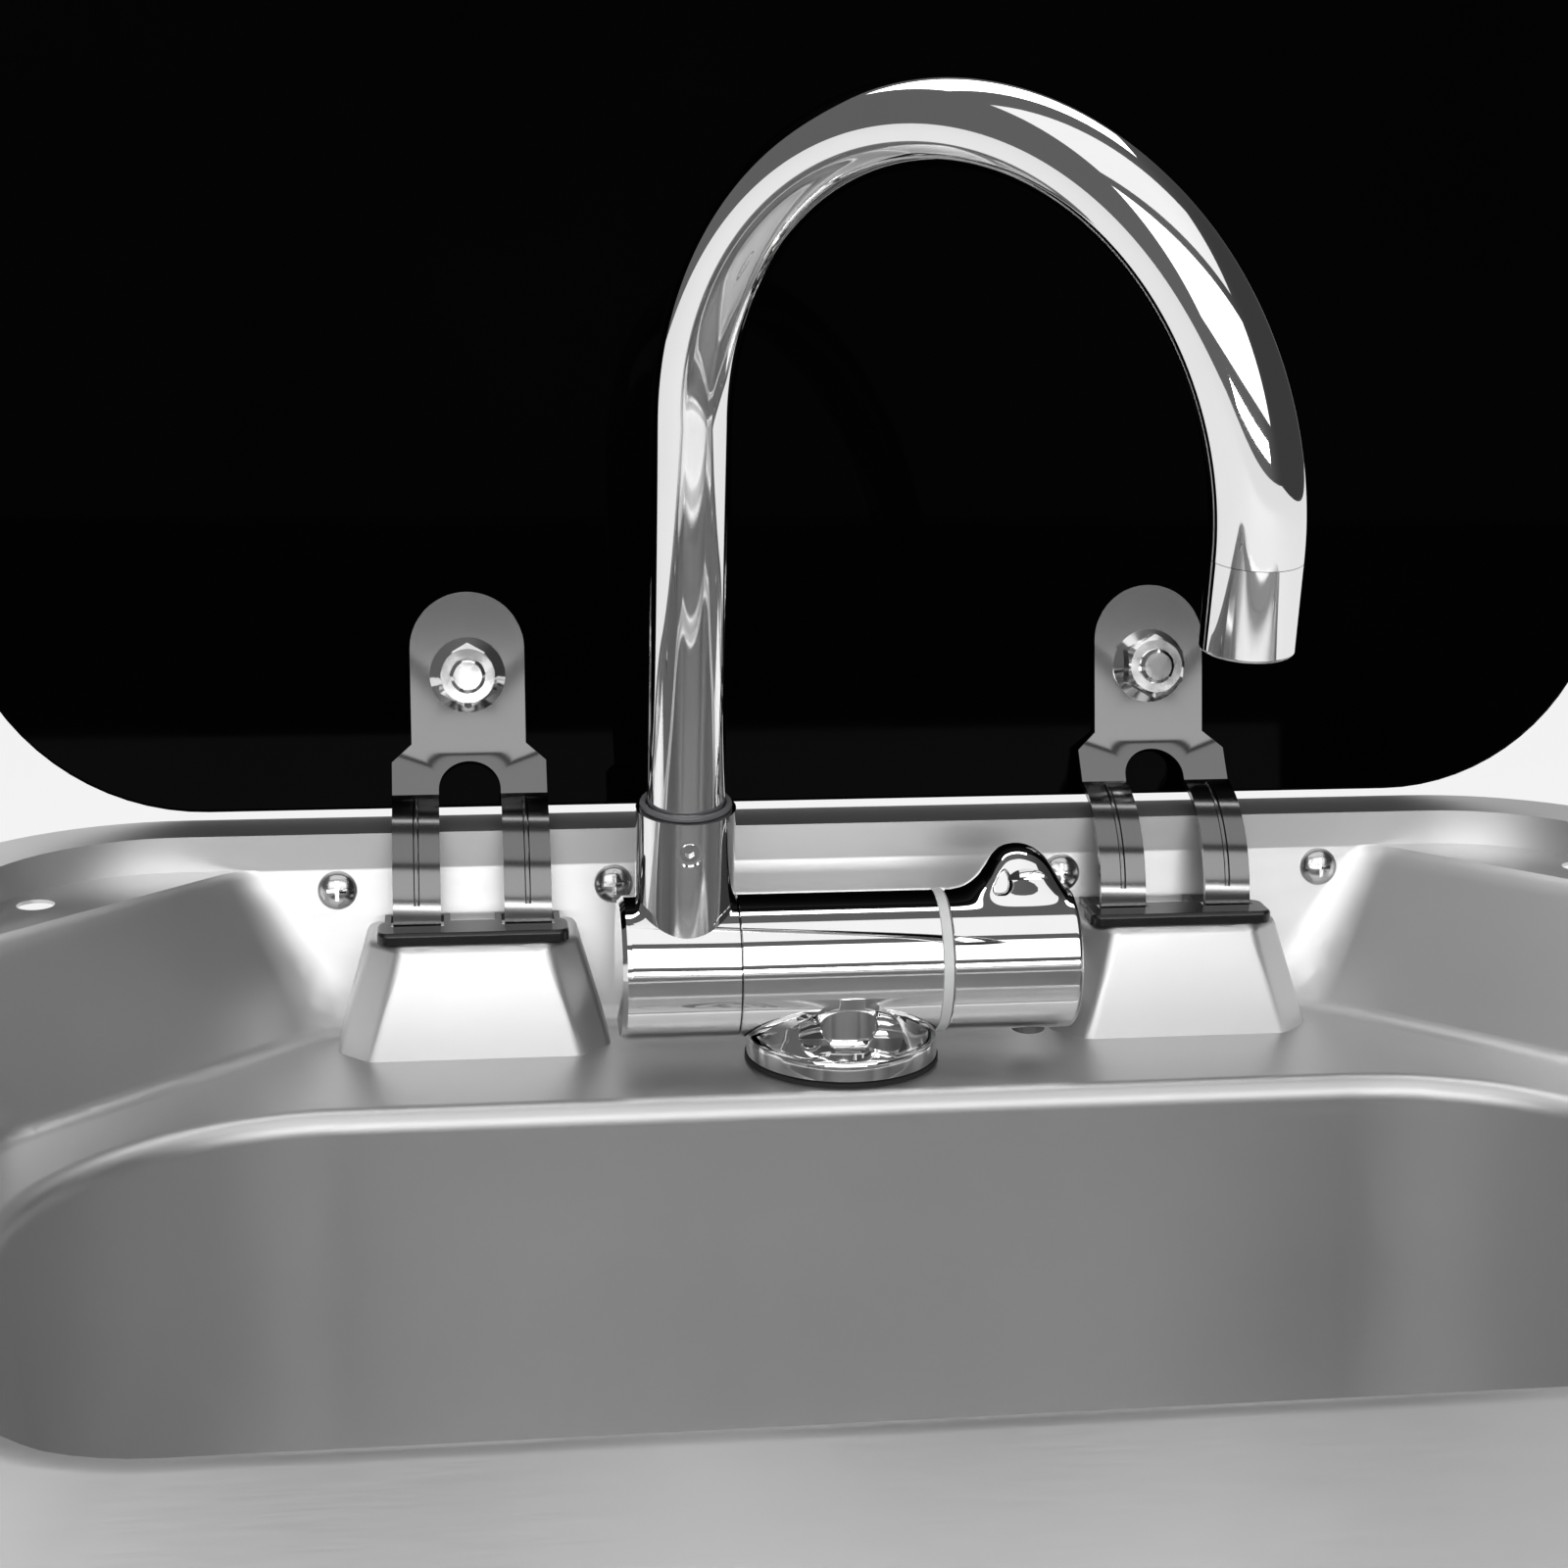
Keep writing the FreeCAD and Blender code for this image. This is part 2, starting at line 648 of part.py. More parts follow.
def tap_base():
    """Cast base: round flange, carved neck and the middle of the barrel."""
    foot = ledge_z + tap_gasket
    flange = disc(tap_flange_dia, tap_flange, 0, tap_y, foot)
    flange = flange.makeFillet(0.8, edges_at(flange, flange_top))
    neck = Part.makeCone(neck_foot_dia / 2, neck_top_dia / 2, barrel_z - flange_top, V(0, tap_y, flange_top))
    for sign in (-1, 1):
        middle = V(0, tap_y + sign * scoop_reach, flange_top + scoop_height)
        neck = neck.cut(Part.makeSphere(scoop_radius, middle, V(0, sign, 0)))
    shank = disc(shank_dia, shank_length, 0, tap_y, foot - shank_length)
    base = fuse([flange, neck, barrel(seam_x, washer_x), shank])
    base = base.cut(disc(shank_bore, shank_length - 6.0, 0, tap_y, foot - shank_length))
    for side in (-1, 1):
        x = side * nipple_spacing / 2
        base = base.cut(disc(nipple_dia, 9.0, x, tap_y, foot - 6.5))
    base = base.cut(barrel(seam_x, seam_x + spindle_reach, spindle_dia + 2 * spindle_play))
    base = base.cut(barrel(washer_x - cartridge_reach, washer_x, cartridge_dia))
    return base.removeSplitter()


def tap_backnut():
    """Hexagon nut that clamps the tap to the ledge from below."""
    z = ledge_z - sheet - soft_washer - clamp_washer - backnut_height
    nut = hexagon(backnut_flats, backnut_height, 0, tap_y, z)
    return nut.cut(disc(shank_dia, backnut_height, 0, tap_y, z))


def inlet_nipples():
    """Hot and cold inlet nipples: a body in the shank and a thinner free tail."""
    top = ledge_z + tap_gasket + 2.5
    low = top - nipple_length - nipple_tail
    nipples = []
    for side in (-1, 1):
        x = side * nipple_spacing / 2
        body = disc(nipple_dia, nipple_length, x, tap_y, top - nipple_length)
        tail = disc(nipple_tail_dia, nipple_tail, x, tap_y, low)
        bore = disc(nipple_tail_dia - 3.0, top - low, x, tap_y, low)
        nipples.append(body.fuse(tail).cut(bore))
    return group(nipples)


def cartridge():
    """Valve cartridge seated in the right end of the barrel."""
    seat = washer_x + washer_width + cartridge_rise
    body = barrel(washer_x - cartridge_reach, seat, cartridge_dia)
    stem = barrel(seat, seat + stem_length, stem_dia)
    return body.fuse(stem).removeSplitter()


# ---- tap, folding elbow -----------------------------------------------------
def leaned(shape):
    """Lean a piece of the upright spout to the open stop of the fold."""
    moved = shape.copy()
    moved.rotate(V(spout_x, tap_y, barrel_z), V(1, 0, 0), spout_lean)
    return moved


def elbow_axis_point(height):
    """Point on the spout's axis above the barrel, before the lean."""
    return V(spout_x, tap_y, barrel_z + height)


def spout_elbow():
    """Folding end of the barrel with the collar that holds the spout."""
    left = barrel_left + end_cap
    body = barrel(left, seam_x - seam_gap)
    spindle = barrel(seam_x - seam_gap, seam_x + spindle_reach - 0.5, spindle_dia)
    collar = Part.makeCylinder(collar_dia / 2, collar_height, elbow_axis_point(0))
    elbow = fuse([body, leaned(collar), spindle])
    mouth = elbow_axis_point(collar_height - spout_foot)
    bore = Part.makeCylinder(spout_dia / 2 + 0.05, spout_foot + 1, mouth)
    recess = Part.makeCylinder(3.0, 3.0, elbow_axis_point(grub_height) + V(0, -collar_dia / 2 - 2.4, 0),
                               V(0, 1, 0))
    hole = Part.makeCylinder(grub_dia / 2, 6.0, elbow_axis_point(grub_height) + V(0, -collar_dia / 2 - 1, 0),
                             V(0, 1, 0))
    bore = bore.fuse([recess, hole])
    return elbow.cut(leaned(bore)).removeSplitter()


def elbow_end_cap():
    """Domed cap that closes the left end of the barrel."""
    profile = [(0, 0), (barrel_r - 1.0, 0), (barrel_r, 1.0), (barrel_r, end_cap), (0, end_cap)]
    return turned(profile, V(barrel_left, tap_y, barrel_z), V(1, 0, 0))


def collar_o_ring():
    """O-ring between the collar mouth and the tube."""
    inner = spout_dia / 2 + 0.2
    half, corner = collar_ring / 2, 0.3 * collar_ring
    profile = [(inner + corner, 0), (inner + 2 * half - corner, 0), (inner + 2 * half, corner),
               (inner + 2 * half, 2 * half - corner), (inner + 2 * half - corner, 2 * half),
               (inner + corner, 2 * half), (inner, 2 * half - corner), (inner, corner)]
    return leaned(turned(profile, elbow_axis_point(collar_height), V(0, 0, 1)))


def grub_screw():
    """Socket screw that keeps the spout in the collar."""
    foot = elbow_axis_point(grub_height) + V(0, -collar_dia / 2 + 0.3, 0)
    length = collar_dia / 2 - spout_dia / 2 - 0.5
    body = Part.makeCylinder(grub_dia / 2, length, foot, V(0, 1, 0))
    socket = hexagon(2.0, 1.2, 0, 0, 0)
    socket.Placement = FreeCAD.Placement(foot, FreeCAD.Rotation(V(0, 0, 1), V(0, 1, 0)))
    return leaned(body.cut(socket))


# ---- tap, swivelling spout --------------------------------------------------
def swung(shape):
    """Turn a piece of the spout forward of the barrel line, then lean it."""
    moved = shape.copy()
    moved.rotate(V(spout_x, tap_y, barrel_z), V(0, 0, 1), -spout_turn)
    return leaned(moved)


def spout_bar(radius):
    """Straight leg and half-circle arch swept as one round bar."""
    foot = elbow_axis_point(collar_height - spout_foot + 0.5)
    start = elbow_axis_point(spout_straight)
    end = start + V(2 * spout_bend, 0, 0)
    crown = start + V(spout_bend, 0, spout_bend)
    path = Part.Wire([Part.LineSegment(foot, start).toShape(), Part.Arc(start, crown, end).toShape()])
    section = Part.Wire(Part.Circle(foot, V(0, 0, 1), radius).toShape())
    return path.makePipeShell([section], True, False)


def spout_tube():
    """Chrome tube with its true bore."""
    tube = spout_bar(spout_dia / 2).cut(spout_bar(spout_dia / 2 - spout_wall))
    return swung(tube)


def aerator_housing():
    """Outlet sleeve in line with the tube, below a fine seam."""
    top = elbow_axis_point(spout_straight) + V(2 * spout_bend, 0, 0)
    foot = top - V(0, 0, aerator_length)
    body = Part.makeCylinder(spout_dia / 2, aerator_length - 0.1, foot)
    body = body.makeFillet(0.6, edges_at(body, foot.z))
    return swung(body.cut(Part.makeCylinder(spout_dia / 2 - 1.4, aerator_length, foot)))


def aerator_insert():
    """Perforated insert inside the outlet."""
    top = elbow_axis_point(spout_straight) + V(2 * spout_bend, 0, 0)
    radius = spout_dia / 2 - 1.4
    foot = top - V(0, 0, aerator_length - 0.8)
    body = Part.makeCylinder(radius, 8.0, foot)
    body = body.cut(Part.makeCylinder(radius - 1.2, 1.0, foot))
    holes = []
    for count, reach in ((1, 0.0), (6, 2.0), (10, 4.0)):
        for i in range(count):
            angle = 2 * math.pi * i / count
            holes.append(Part.makeCylinder(0.45, 8.0, foot + V(reach * math.cos(angle),
                                                              reach * math.sin(angle), 0)))
    return swung(body.cut(holes))


# ---- tap, lever -------------------------------------------------------------
def lever_handle():
    """Round handle on the right end of the barrel with its finger tab."""
    left = washer_x + washer_width
    body = barrel(left, barrel_right)
    end = [edge for edge in body.Edges if abs(edge.BoundBox.XMin - barrel_right) < 1e-4]
    body = body.makeFillet(1.2, end)
    start_x = left + 1.5
    tab_x = barrel_right - tab_width - 2.0
    base_z = barrel_z + barrel_r * 0.6
    top_z = barrel_z + tab_radius
    low = barrel_z + barrel_r - 0.4
    crown = tab_width / 2
    tab_mid = tab_x + tab_width / 2
    y = tap_y - tab_thickness / 2
    right_x = tab_x + tab_width
    edges = [Part.LineSegment(V(start_x, y, base_z), V(start_x, y, low)),
             Part.Arc(V(start_x, y, low), V(tab_x - 4.5, y, low + 1.6), V(tab_x, y, top_z - crown)),
             Part.Arc(V(tab_x, y, top_z - crown), V(tab_mid, y, top_z), V(right_x, y, top_z - crown)),
             Part.LineSegment(V(right_x, y, top_z - crown), V(right_x + 0.8, y, base_z)),
             Part.LineSegment(V(right_x + 0.8, y, base_z), V(start_x, y, base_z))]
    tab = Part.Face(Part.Wire([edge.toShape() for edge in edges])).extrude(V(0, tab_thickness, 0))
    handle = body.fuse(tab)
    dish = Part.makeCylinder(crown - 1.8, 2.2, V(tab_mid, y - 0.9, top_z - crown), V(0, 1, 0))
    pocket = barrel(left, left + cartridge_rise + 2 * stem_gap, cartridge_dia + stem_gap)
    foot = left + cartridge_rise
    stem = barrel(foot, foot + stem_length + 2 * stem_gap, stem_dia + stem_gap)
    button = disc(index_dia, 1.6, tab_mid, tap_y, barrel_z - barrel_r - 0.4)
    return handle.cut([dish, pocket, stem, button]).removeSplitter()


def index_button():
    """Small round button under the handle."""
    x = barrel_right - 2.0 - tab_width / 2
    foot = barrel_z - barrel_r - index_proud
    body = disc(index_dia - 0.1, index_proud + 1.2, x, tap_y, foot)
    return body.makeFillet(0.4, edges_at(body, foot))


# ---- waste ------------------------------------------------------------------
def waste_strainer():
    """Dished steel strainer plate in the bowl floor."""
    radius, hole = waste_flange_dia / 2, waste_hole_dia / 2
    top = floor_z + 1.0
    dish = floor_z - waste_dish
    profile = [(0, dish), (hole - 6.0, dish), (hole - 1.6, floor_z - 1.0), (hole - 1.6, floor_z),
               (radius, floor_z), (radius, floor_z + 0.5), (radius - 1.5, top), (hole - 2.6, top),
               (hole - 6.6, dish + 1.0), (0, dish + 1.0)]
    body = turned(profile, V(0, waste_y, 0), V(0, 0, 1))
    cuts = []
    for i in range(waste_hole_count):
        angle = 2 * math.pi * i / waste_hole_count
        cuts.append(disc(strainer_hole_dia, 3.0, strainer_hole_reach * math.cos(angle),
                         waste_y + strainer_hole_reach * math.sin(angle), dish - 1))
    cuts.append(disc(6.4, 3.0, 0, waste_y, dish - 1))
    return body.cut(cuts)


def waste_seal():
    """Rubber seal under the bowl floor."""
    return ring(waste_flange_dia, waste_hole_dia + 0.4, 3.0, 0, waste_y, floor_z - sheet - 3.0)


def waste_cup():
    """Moulded waste body with a hose tail."""
    radius = waste_cup_dia / 2
    top = floor_z - sheet - 3.0
    low = top - waste_cup_height
    tail = waste_tail_dia / 2
    profile = [(waste_flange_dia / 2, top), (waste_flange_dia / 2, top - 3.0), (radius, top - 3.0),
               (radius, low + 8.0), (tail + 2.0, low), (tail, low), (tail, low - waste_tail),
               (tail - 2.5, low - waste_tail), (tail - 2.5, low + 1.0), (radius - 2.5, low + 9.5),
               (radius - 2.5, top)]
    body = turned(profile, V(0, waste_y, 0), V(0, 0, 1))
    boss = disc(cup_boss_dia, cup_boss_height, 0, waste_y, low + 4.0)
    web = box(-radius + 1.0, radius - 1.0, waste_y - 1.5, waste_y + 1.5,
              low + cup_boss_dia, low + cup_boss_height)
    return body.fuse([boss, web]).cut(disc(5.0, 14.0, 0, waste_y, low + 7.0)).removeSplitter()


def waste_screw():
    """Centre screw that draws the strainer and the cup together."""
    dish = floor_z - waste_dish + 1.0
    top = floor_z - sheet - 3.0
    foot = top - waste_cup_height + 9.0
    profile = [(0, foot), (2.5, foot), (2.5, dish), (4.6, dish), (4.6, dish + 1.2), (3.0, dish + 2.4),
               (0, dish + 2.4)]
    body = turned(profile, V(0, waste_y, 0), V(0, 0, 1))
    return body.cut(box(-4.0, 4.0, waste_y - 0.6, waste_y + 0.6, dish + 1.2, dish + 3.0))


def build():
    """Every piece by its node name."""
    under = ledge_z - sheet
    pieces = {
        "sink_bowl": sink_bowl(),
        "rim_seal": rim_seal(),
        "fixing_screws": fixing_screws(),
        "hinge_guide_left": hinge_guide(-1),
        "hinge_guide_right": hinge_guide(1),
        "lid_glass": lid_glass(),
        "hinge_arm_left": hinge_arm(-1),
        "hinge_arm_right": hinge_arm(1),
        "hinge_pad_left": hinge_pad(-1),
        "hinge_pad_right": hinge_pad(1),
        "lid_studs": lid_studs(),
        "stud_washers": stud_washers(),
        "hinge_nut_left": hinge_nut(-1),
        "hinge_nut_right": hinge_nut(1),
        "lid_bumpers": lid_bumpers(),
        "tap_base": tap_base(),
        "tap_gasket": ring(tap_flange_dia + 0.6, shank_dia, tap_gasket, 0, tap_y, ledge_z),
        "tap_soft_washer": ring(clamp_washer_dia - 2.0, shank_dia, soft_washer, 0, tap_y,
                                under - soft_washer),
        "tap_clamp_washer": ring(clamp_washer_dia, shank_dia, clamp_washer, 0, tap_y,
                                 under - soft_washer - clamp_washer),
        "tap_backnut": tap_backnut(),
        "inlet_nipples": inlet_nipples(),
        "cartridge": cartridge(),
        "barrel_washer": barrel(washer_x, washer_x + washer_width - 0.1).cut(
            barrel(washer_x, washer_x + washer_width, cartridge_dia)),
        "spout_elbow": spout_elbow(),
        "elbow_end_cap": elbow_end_cap(),
        "collar_o_ring": collar_o_ring(),
        "spout_grub_screw": grub_screw(),
        "spout_tube": spout_tube(),
        "aerator_housing": aerator_housing(),
        "aerator_insert": aerator_insert(),
        "lever_handle": lever_handle(),
        "index_button": index_button(),
        "waste_strainer": waste_strainer(),
        "waste_seal": waste_seal(),
        "waste_cup": waste_cup(),
        "waste_screw": waste_screw(),
    }
    return pieces


def main():
    """Write one STEP file per piece."""
    os.makedirs("parts", exist_ok=True)
    for name, shape in build().items():
        shape.exportStep("parts/" + name + ".step")
        print(name, "solids", len(shape.Solids), "valid", shape.isValid(), "volume", round(shape.Volume, 1))


main()
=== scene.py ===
"""Built-in steel sink with a black glass lid and a folding chrome tap: finishes, fine pieces and studio.

Sizes are in millimetres in the classes and become metres where a mesh is made.
"""

import json
import logging
import math
from dataclasses import dataclass, field
from enum import Enum
from typing import Callable, Iterable, Sequence

import bmesh
import bpy
from mathutils import Matrix, Vector

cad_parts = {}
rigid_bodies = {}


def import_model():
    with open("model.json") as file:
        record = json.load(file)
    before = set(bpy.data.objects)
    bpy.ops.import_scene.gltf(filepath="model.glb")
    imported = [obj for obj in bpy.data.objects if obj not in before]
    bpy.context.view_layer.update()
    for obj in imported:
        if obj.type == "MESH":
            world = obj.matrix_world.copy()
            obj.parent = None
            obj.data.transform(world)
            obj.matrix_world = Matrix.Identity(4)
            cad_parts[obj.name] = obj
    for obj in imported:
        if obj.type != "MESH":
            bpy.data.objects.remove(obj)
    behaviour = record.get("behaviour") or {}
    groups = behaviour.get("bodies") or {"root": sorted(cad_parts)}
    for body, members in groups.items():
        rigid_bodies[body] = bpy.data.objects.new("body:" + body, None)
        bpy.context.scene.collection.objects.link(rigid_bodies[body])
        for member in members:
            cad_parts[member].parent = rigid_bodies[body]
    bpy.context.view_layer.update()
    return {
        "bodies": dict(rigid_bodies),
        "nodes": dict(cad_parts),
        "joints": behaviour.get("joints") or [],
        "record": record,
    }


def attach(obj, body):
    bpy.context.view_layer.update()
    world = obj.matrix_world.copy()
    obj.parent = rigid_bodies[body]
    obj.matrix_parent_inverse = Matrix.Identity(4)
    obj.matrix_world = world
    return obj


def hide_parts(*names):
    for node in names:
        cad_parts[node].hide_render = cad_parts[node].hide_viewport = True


LOG = logging.getLogger("sink")
MM = 0.001
IMAGE_SIDE = 1600
Point = tuple[float, float, float]


class Body(str, Enum):
    """Moving groups of the sink."""

    SINK = "sink"
    LID = "lid"
    ELBOW = "elbow"
    SPOUT = "spout"
    LEVER = "lever"


class Grain(Enum):
    """Direction of the brushing on sheet metal, as scales along X, Y and Z."""

    ALONG_X = (120.0, 2600.0, 2600.0)
    ALONG_Z = (2600.0, 2600.0, 120.0)


# ---- finishes ---------------------------------------------------------------
class Shader:
    """Small helper that lays out a material's nodes."""

    def __init__(self, name: str) -> None:
        """Starts an empty node material with its shader and output."""
        self.material = bpy.data.materials.new(name)
        self.material.use_nodes = True
        self.tree = self.material.node_tree
        self.tree.nodes.clear()
        self.surface = self.tree.nodes.new("ShaderNodeBsdfPrincipled")
        self.output = self.tree.nodes.new("ShaderNodeOutputMaterial")
        self.tree.links.new(self.surface.outputs["BSDF"], self.output.inputs["Surface"])

    def set(self, **values: object) -> None:
        """Sets sockets of the main shader; underscores stand for spaces."""
        for key, value in values.items():
            self.surface.inputs[key.replace("_", " ")].default_value = value

    def node(self, kind: str, **attributes: object) -> bpy.types.Node:
        """Adds a node and sets its attributes."""
        made = self.tree.nodes.new(kind)
        for key, value in attributes.items():
            setattr(made, key, value)
        return made

    def link(self, source: bpy.types.NodeSocket, target: bpy.types.NodeSocket) -> None:
        """Joins two sockets."""
        self.tree.links.new(source, target)

    def noise(self, scale: Sequence[float], detail: float = 4.0, roughness: float = 0.55) -> bpy.types.NodeSocket:
        """Noise over the object's own coordinates.

        Args:
            scale: Repeats per metre along X, Y and Z.
            detail: Octaves.
            roughness: Share kept by each finer octave.

        Returns:
            The factor socket.
        """
        place = self.node("ShaderNodeTexCoord")
        turn = self.node("ShaderNodeMapping")
        turn.inputs["Scale"].default_value = scale
        made = self.node("ShaderNodeTexNoise")
        made.inputs["Scale"].default_value = 1.0
        made.inputs["Detail"].default_value = detail
        made.inputs["Roughness"].default_value = roughness
        self.link(place.outputs["Object"], turn.inputs["Vector"])
        self.link(turn.outputs["Vector"], made.inputs["Vector"])
        return made.outputs["Fac"]

    def remap(self, source: bpy.types.NodeSocket, low: float, high: float,
              start: float = 0.3, stop: float = 0.7) -> bpy.types.NodeSocket:
        """Stretches a factor from start..stop to low..high."""
        made = self.node("ShaderNodeMapRange")
        made.inputs["From Min"].default_value = start
        made.inputs["From Max"].default_value = stop
        made.inputs["To Min"].default_value = low
        made.inputs["To Max"].default_value = high
        self.link(source, made.inputs["Value"])
        return made.outputs["Result"]

    def blend(self, factor: bpy.types.NodeSocket, first: Sequence[float],
              second: Sequence[float]) -> bpy.types.NodeSocket:
        """Mixes two colours by a factor."""
        made = self.node("ShaderNodeMix", data_type="RGBA")
        self.link(factor, made.inputs[0])
        made.inputs[6].default_value = (*first, 1.0)
        made.inputs[7].default_value = (*second, 1.0)
        return made.outputs[2]

    def relief(self, height: bpy.types.NodeSocket, strength: float, distance: float) -> None:
        """Raises the surface by a height field, with the distance in metres."""
        bump = self.node("ShaderNodeBump")
        bump.inputs["Strength"].default_value = strength
        bump.inputs["Distance"].default_value = distance
        self.link(height, bump.inputs["Height"])
        self.link(bump.outputs["Normal"], self.surface.inputs["Normal"])


@dataclass(frozen=True)
class SatinSteel:
    """Stainless sheet with a fine brushed grain and a faint cloudiness."""

    name: str = "satin_steel"
    tone: float = 0.7
    gloss: float = 0.42
    grain: Grain = Grain.ALONG_X
    depth: float = 0.000002

    def make(self) -> bpy.types.Material:
        """Builds the material."""
        shade = Shader(self.name)
        shade.set(Metallic=1.0)
        cloud = shade.noise((22.0, 22.0, 22.0), 3.0)
        light, dark = self.tone * 1.02, self.tone * 0.98
        colour = shade.blend(shade.remap(cloud, 0.0, 1.0), (dark, dark, dark), (light, light, light))
        shade.link(colour, shade.surface.inputs["Base Color"])
        grain = shade.noise(self.grain.value, 5.0, 0.7)
        shade.link(shade.remap(grain, self.gloss * 0.94, self.gloss * 1.06), shade.surface.inputs["Roughness"])
        shade.relief(grain, 0.25, self.depth)
        return shade.material


@dataclass(frozen=True)
class Chrome:
    """Bright plating with the faintest smear in its gloss."""

    name: str = "bright_chrome"
    tone: float = 0.86
    gloss: float = 0.03

    def make(self) -> bpy.types.Material:
        """Builds the material."""
        shade = Shader(self.name)
        shade.set(Metallic=1.0)
        smear = shade.noise((60.0, 60.0, 60.0), 4.0, 0.6)
        tint = shade.blend(shade.remap(smear, 0.0, 1.0), (self.tone * 0.97,) * 3, (self.tone,) * 3)
        shade.link(tint, shade.surface.inputs["Base Color"])
        shade.link(shade.remap(smear, self.gloss * 0.6, self.gloss * 1.6), shade.surface.inputs["Roughness"])
        return shade.material


@dataclass(frozen=True)
class BlackGlass:
    """Tempered glass with a black back, wiped clean."""

    name: str = "black_glass"

    def make(self) -> bpy.types.Material:
        """Builds the material."""
        shade = Shader(self.name)
        shade.set(IOR=1.5, Specular_IOR_Level=0.004)
        haze = shade.noise((9.0, 9.0, 9.0), 5.0, 0.6)
        colour = shade.blend(shade.remap(haze, 0.0, 1.0), (0.0005,) * 3, (0.0011, 0.0011, 0.0012))
        shade.link(colour, shade.surface.inputs["Base Color"])
        shade.link(shade.remap(haze, 0.015, 0.05), shade.surface.inputs["Roughness"])
        return shade.material


@dataclass(frozen=True)
class Moulding:
    """Moulded plastic or rubber with a fine skin."""

    name: str
    colour: tuple[float, float, float]
    gloss: float = 0.4
    skin: float = 900.0
    depth: float = 0.00003
    glow: float = 0.0

    def make(self) -> bpy.types.Material:
        """Builds the material."""
        shade = Shader(self.name)
        shade.set(Subsurface_Weight=self.glow, Subsurface_Scale=0.002)
        fine = shade.noise((self.skin,) * 3, 3.0)
        broad = shade.noise((35.0, 35.0, 35.0), 3.0)
        dark = tuple(0.86 * c for c in self.colour)
        tint = shade.blend(shade.remap(broad, 0.0, 1.0), dark, self.colour)
        shade.link(tint, shade.surface.inputs["Base Color"])
        shade.link(shade.remap(broad, self.gloss * 0.85, self.gloss * 1.15), shade.surface.inputs["Roughness"])
        shade.relief(fine, 0.35, self.depth)
        return shade.material


@dataclass(frozen=True)
class TurnedMetal:
    """Machined or plated metal with fine tool marks."""

    name: str
    colour: tuple[float, float, float]
    gloss: float = 0.28

    def make(self) -> bpy.types.Material:
        """Builds the material."""
        shade = Shader(self.name)
        shade.set(Metallic=1.0)
        marks = shade.noise((120.0, 120.0, 1600.0), 4.0, 0.65)
        dark = tuple(0.85 * c for c in self.colour)
        tint = shade.blend(shade.remap(marks, 0.0, 1.0), dark, self.colour)
        shade.link(tint, shade.surface.inputs["Base Color"])
        shade.link(shade.remap(marks, self.gloss * 0.8, self.gloss * 1.25), shade.surface.inputs["Roughness"])
        shade.relief(marks, 0.2, 0.00002)
        return shade.material


class Finishes:
    """All finishes of the sink, made once."""

    def __init__(self) -> None:
        """Builds every material and pairs it with the record's slots."""
        self.steel = SatinSteel().make()
        self.arm = SatinSteel("arm_steel", 0.17, 0.14, Grain.ALONG_Z, 0.000003).make()
        self.screw = TurnedMetal("screw_steel", (0.62, 0.62, 0.62), 0.2).make()
        self.zinc = TurnedMetal("zinc_steel", (0.55, 0.56, 0.58), 0.35).make()
        self.brass = TurnedMetal("turned_brass", (0.62, 0.46, 0.2), 0.3).make()
        self.nut = Chrome("nut_chrome", 0.8, 0.09).make()
        self.chrome = Chrome().make()
        self.glass = BlackGlass().make()
        self.guide = Moulding("black_guide", (0.012, 0.012, 0.012), 0.22).make()
        self.nylon = Moulding("white_nylon", (0.86, 0.86, 0.86), 0.35, 500.0, 0.00001, 0.1).make()
        self.grey = Moulding("grey_moulding", (0.16, 0.16, 0.17), 0.25).make()
        self.waste = Moulding("dark_moulding", (0.05, 0.05, 0.055), 0.45, 300.0).make()
        self.pad = Moulding("pad_rubber", (0.02, 0.02, 0.02), 0.6).make()
        self.seal = Moulding("seal_rubber", (0.018, 0.018, 0.018), 0.65, 600.0).make()
        self.by_slot: dict[str, bpy.types.Material] = {
            "steel": self.steel, "arm_steel": self.arm, "screw_steel": self.screw, "zinc_steel": self.zinc,
            "chrome": self.nut, "tap_chrome": self.chrome, "brass": self.brass, "black_glass": self.glass,
            "guide_plastic": self.guide, "white_nylon": self.nylon, "grey_plastic": self.grey,
            "waste_plastic": self.waste, "pad_rubber": self.pad, "seal_rubber": self.seal}


